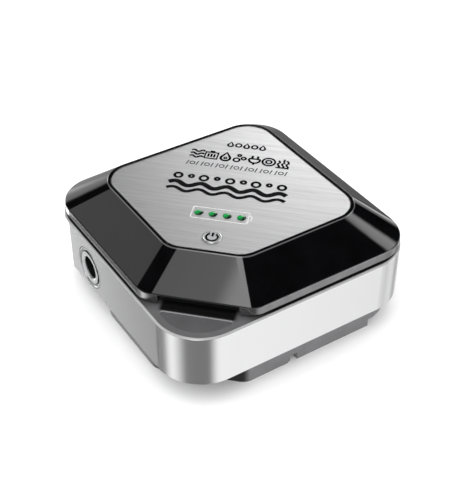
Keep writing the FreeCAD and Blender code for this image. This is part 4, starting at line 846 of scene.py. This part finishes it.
def add_camera():
    data = bpy.data.cameras.new("camera")
    data.lens = LENS
    data.sensor_width = 36.0
    data.clip_start = 10 * MM
    data.clip_end = 50.0
    camera = new_object("camera", data)
    towards = direction(VIEW_AZIMUTH, VIEW_ELEVATION)
    camera.location = AIM + towards * VIEW_DISTANCE
    camera.rotation_mode = "QUATERNION"
    camera.rotation_quaternion = (-towards).to_track_quat("-Z", "Y")
    bpy.context.scene.camera = camera


def add_floor():
    """Plain pale floor. Polished parts see the studio's cards in its place."""
    size = 30.0
    mesh = bpy.data.meshes.new("floor")
    mesh.from_pydata([(-size, -size, 0), (size, -size, 0), (size, size, 0), (-size, size, 0)], [],
                     [(0, 1, 2, 3)])
    floor = new_object("floor", mesh)
    floor.visible_glossy = False
    material, shader = new_material("floor")
    shader.inputs["Base Color"].default_value = FLOOR_COLOR
    shader.inputs["Roughness"].default_value = 0.9
    shader.inputs["Specular IOR Level"].default_value = 0.0
    mesh.materials.append(material)


class Room:
    """World shader: an even pale room, in which polished parts see soft cards by direction."""

    def __init__(self):
        world = bpy.data.worlds.new("room")
        world.use_nodes = True
        bpy.context.scene.world = world
        self.nodes = world.node_tree.nodes
        self.links = world.node_tree.links
        self.nodes.clear()
        place = self.nodes.new("ShaderNodeTexCoord")
        split = self.nodes.new("ShaderNodeSeparateXYZ")
        self.links.new(place.outputs["Generated"], split.inputs["Vector"])
        self.x, self.y, self.z = (split.outputs[axis] for axis in "XYZ")
        self.elevation = self.math("MULTIPLY", self.math("ARCSINE", self.z), 180 / math.pi)

    def math(self, operation, *values):
        made = self.nodes.new("ShaderNodeMath")
        made.operation = operation
        for socket, value in zip(made.inputs, values):
            if isinstance(value, (int, float)):
                socket.default_value = value
            else:
                self.links.new(value, socket)
        return made.outputs["Value"]

    def turn_from(self, azimuth):
        """Angle in degrees from an azimuth, counted from +X towards +Y; never wraps near it."""
        angle = math.radians(azimuth)
        ahead = self.math("ADD", self.math("MULTIPLY", self.x, math.cos(angle)),
                          self.math("MULTIPLY", self.y, math.sin(angle)))
        aside = self.math("SUBTRACT", self.math("MULTIPLY", self.y, math.cos(angle)),
                          self.math("MULTIPLY", self.x, math.sin(angle)))
        return self.math("MULTIPLY", self.math("ARCTAN2", aside, ahead), 180 / math.pi)

    def step(self, value, edge, soft):
        made = self.nodes.new("ShaderNodeMapRange")
        made.interpolation_type = "SMOOTHSTEP"
        made.inputs["From Min"].default_value = edge - soft
        made.inputs["From Max"].default_value = edge + soft
        self.links.new(value, made.inputs["Value"])
        return made.outputs["Result"]

    def window(self, value, low, high, soft_low, soft_high):
        rise = self.step(value, low, soft_low)
        fall = self.step(value, high, soft_high)
        return self.math("SUBTRACT", rise, fall)

    def patch(self, turn, side, low, high):
        """Soft-edged patch; side is (half-width, softness), low and high (elevation, softness)."""
        across = self.window(turn, -side[0], side[0], side[1], side[1])
        upright = self.window(self.elevation, low[0], high[0], low[1], high[1])
        return self.math("MULTIPLY", across, upright)

    def card(self, azimuth, side, low, high, strength):
        turn = self.turn_from(azimuth)
        return self.math("MULTIPLY", self.patch(turn, side, low, high), strength)

    def ramp_card(self, azimuth, side, low, high, right, left):
        """Card whose strength runs from its right end to its left end."""
        turn = self.turn_from(azimuth)
        run = self.nodes.new("ShaderNodeMapRange")
        run.inputs["From Min"].default_value = -side[0]
        run.inputs["From Max"].default_value = side[0]
        run.inputs["To Min"].default_value = right
        run.inputs["To Max"].default_value = left
        self.links.new(turn, run.inputs["Value"])
        return self.math("MULTIPLY", self.patch(turn, side, low, high), run.outputs["Result"])

    def around(self, stops, top, soft):
        """Ring of brightness below an elevation; stops are (azimuth, value) from 0 to 360."""
        turn = self.turn_from(180)
        share = self.math("DIVIDE", self.math("ADD", turn, 180), 360)
        ramp = self.nodes.new("ShaderNodeValToRGB")
        elements = ramp.color_ramp.elements
        peak = max(value for _, value in stops)
        while len(elements) < len(stops):
            elements.new(0.5)
        for element, (azimuth, value) in zip(elements, stops):
            element.position = azimuth / 360
            element.color = (value / peak, value / peak, value / peak, 1)
        self.links.new(share, ramp.inputs["Fac"])
        low_down = self.math("SUBTRACT", 1.0, self.step(self.elevation, top, soft))
        return self.math("MULTIPLY", self.math("MULTIPLY", ramp.outputs["Color"], low_down), peak)

    def finish(self, cards, low_ring, pale):
        """Adds the cards up for polished parts, and lights everything else evenly."""
        total = low_ring
        for card in cards:
            total = self.math("ADD", total, card)
        seen = self.nodes.new("ShaderNodeBackground")
        self.links.new(total, seen.inputs["Strength"])
        even = self.nodes.new("ShaderNodeBackground")
        even.inputs["Strength"].default_value = pale
        for background in (seen, even):
            background.inputs["Color"].default_value = (1, 1, 1, 1)
        rays = self.nodes.new("ShaderNodeLightPath")
        choose = self.nodes.new("ShaderNodeMixShader")
        output = self.nodes.new("ShaderNodeOutputWorld")
        self.links.new(rays.outputs["Is Glossy Ray"], choose.inputs["Fac"])
        self.links.new(even.outputs["Background"], choose.inputs[1])
        self.links.new(seen.outputs["Background"], choose.inputs[2])
        self.links.new(choose.outputs["Shader"], output.inputs["Surface"])


def add_room():
    """Ring and cards by azimuth from +X towards +Y; slopes look up and the band looks down."""
    room = Room()
    stops = [(0, 0.5), (18, 0.3), (25, 1.2), (30, 1.3), (35, 0.16), (60, 0.25), (74, 0.5),
             (86, 1.1), (97, 3.0), (102, 4.0), (106, 1.9), (111, 0.1), (122, 0.1), (129, 0.27),
             (148, 0.27), (158, 0.95), (170, 1.2), (203, 0.22), (257, 0.2), (276, 1.08),
             (310, 1.08), (328, 0.6), (342, 0.9)]
    low_ring = room.around(stops, 0, 6)
    cards = [
        room.card(127.8, (6.2, 0.8), (14, 2), (44, 2), 0.95),            # left slope
        room.ramp_card(203.8, (4.4, 1.0), (45, 3), (72, 3), 2.0, 2.4),   # front slope
        room.card(224.9, (16.7, 1.0), (45, 3), (72, 3), 5.2),            # its right end
        room.card(342, (14, 5), (16, 6), (44, 6), 3.9),                  # right corner
        room.card(32, (3, 2), (-12, 2), (0, 3), 0.8),                    # band's right corner
        room.card(94, (10, 4), (-10, 3), (16, 4), 1.3),                  # left corner, low
        room.card(98, (8, 4), (34, 4), (46, 4), 1.5),                    # left corner, high
        room.card(70, (52, 8), (52, 5), (74, 4), 0.8),                   # wall, high up
        room.card(42.5, (17, 4), (3, 4), (28, 4), 5.3),                  # plate
        room.card(305, (20, 5), (-2, 4), (16, 4), 3.0),                  # lower edge of the slopes
        room.card(57, (180, 1), (76, 3), (95, 1), 1.1),                  # overhead
        room.card(216, (74, 6), (6, 4), (25, 4), 0.75),                  # wall behind the camera
    ]
    room.finish(cards, low_ring, PALE_ROOM)


def add_key():
    """Soft key light from the left; polished parts see the cards instead."""
    data = bpy.data.lights.new("key", "AREA")
    data.shape = "RECTANGLE"
    data.size = 1.0
    data.size_y = 1.0
    data.energy = 6.0
    lamp = new_object("key", data)
    towards = direction(math.radians(-70), math.radians(62))
    lamp.location = towards * 1.4
    lamp.rotation_mode = "QUATERNION"
    lamp.rotation_quaternion = (-towards).to_track_quat("-Z", "Y")
    lamp.visible_camera = False
    lamp.visible_glossy = False


# ------------------------------------------------------------------ build
bpy.context.scene.view_settings.view_transform = "Standard"
dress_nodes()
add_diaphragm()
power_mark()
battery_mark()
water_mark()
icon_row()
tick_row()
drops_mark()
add_camera()
add_floor()
add_room()
add_key()
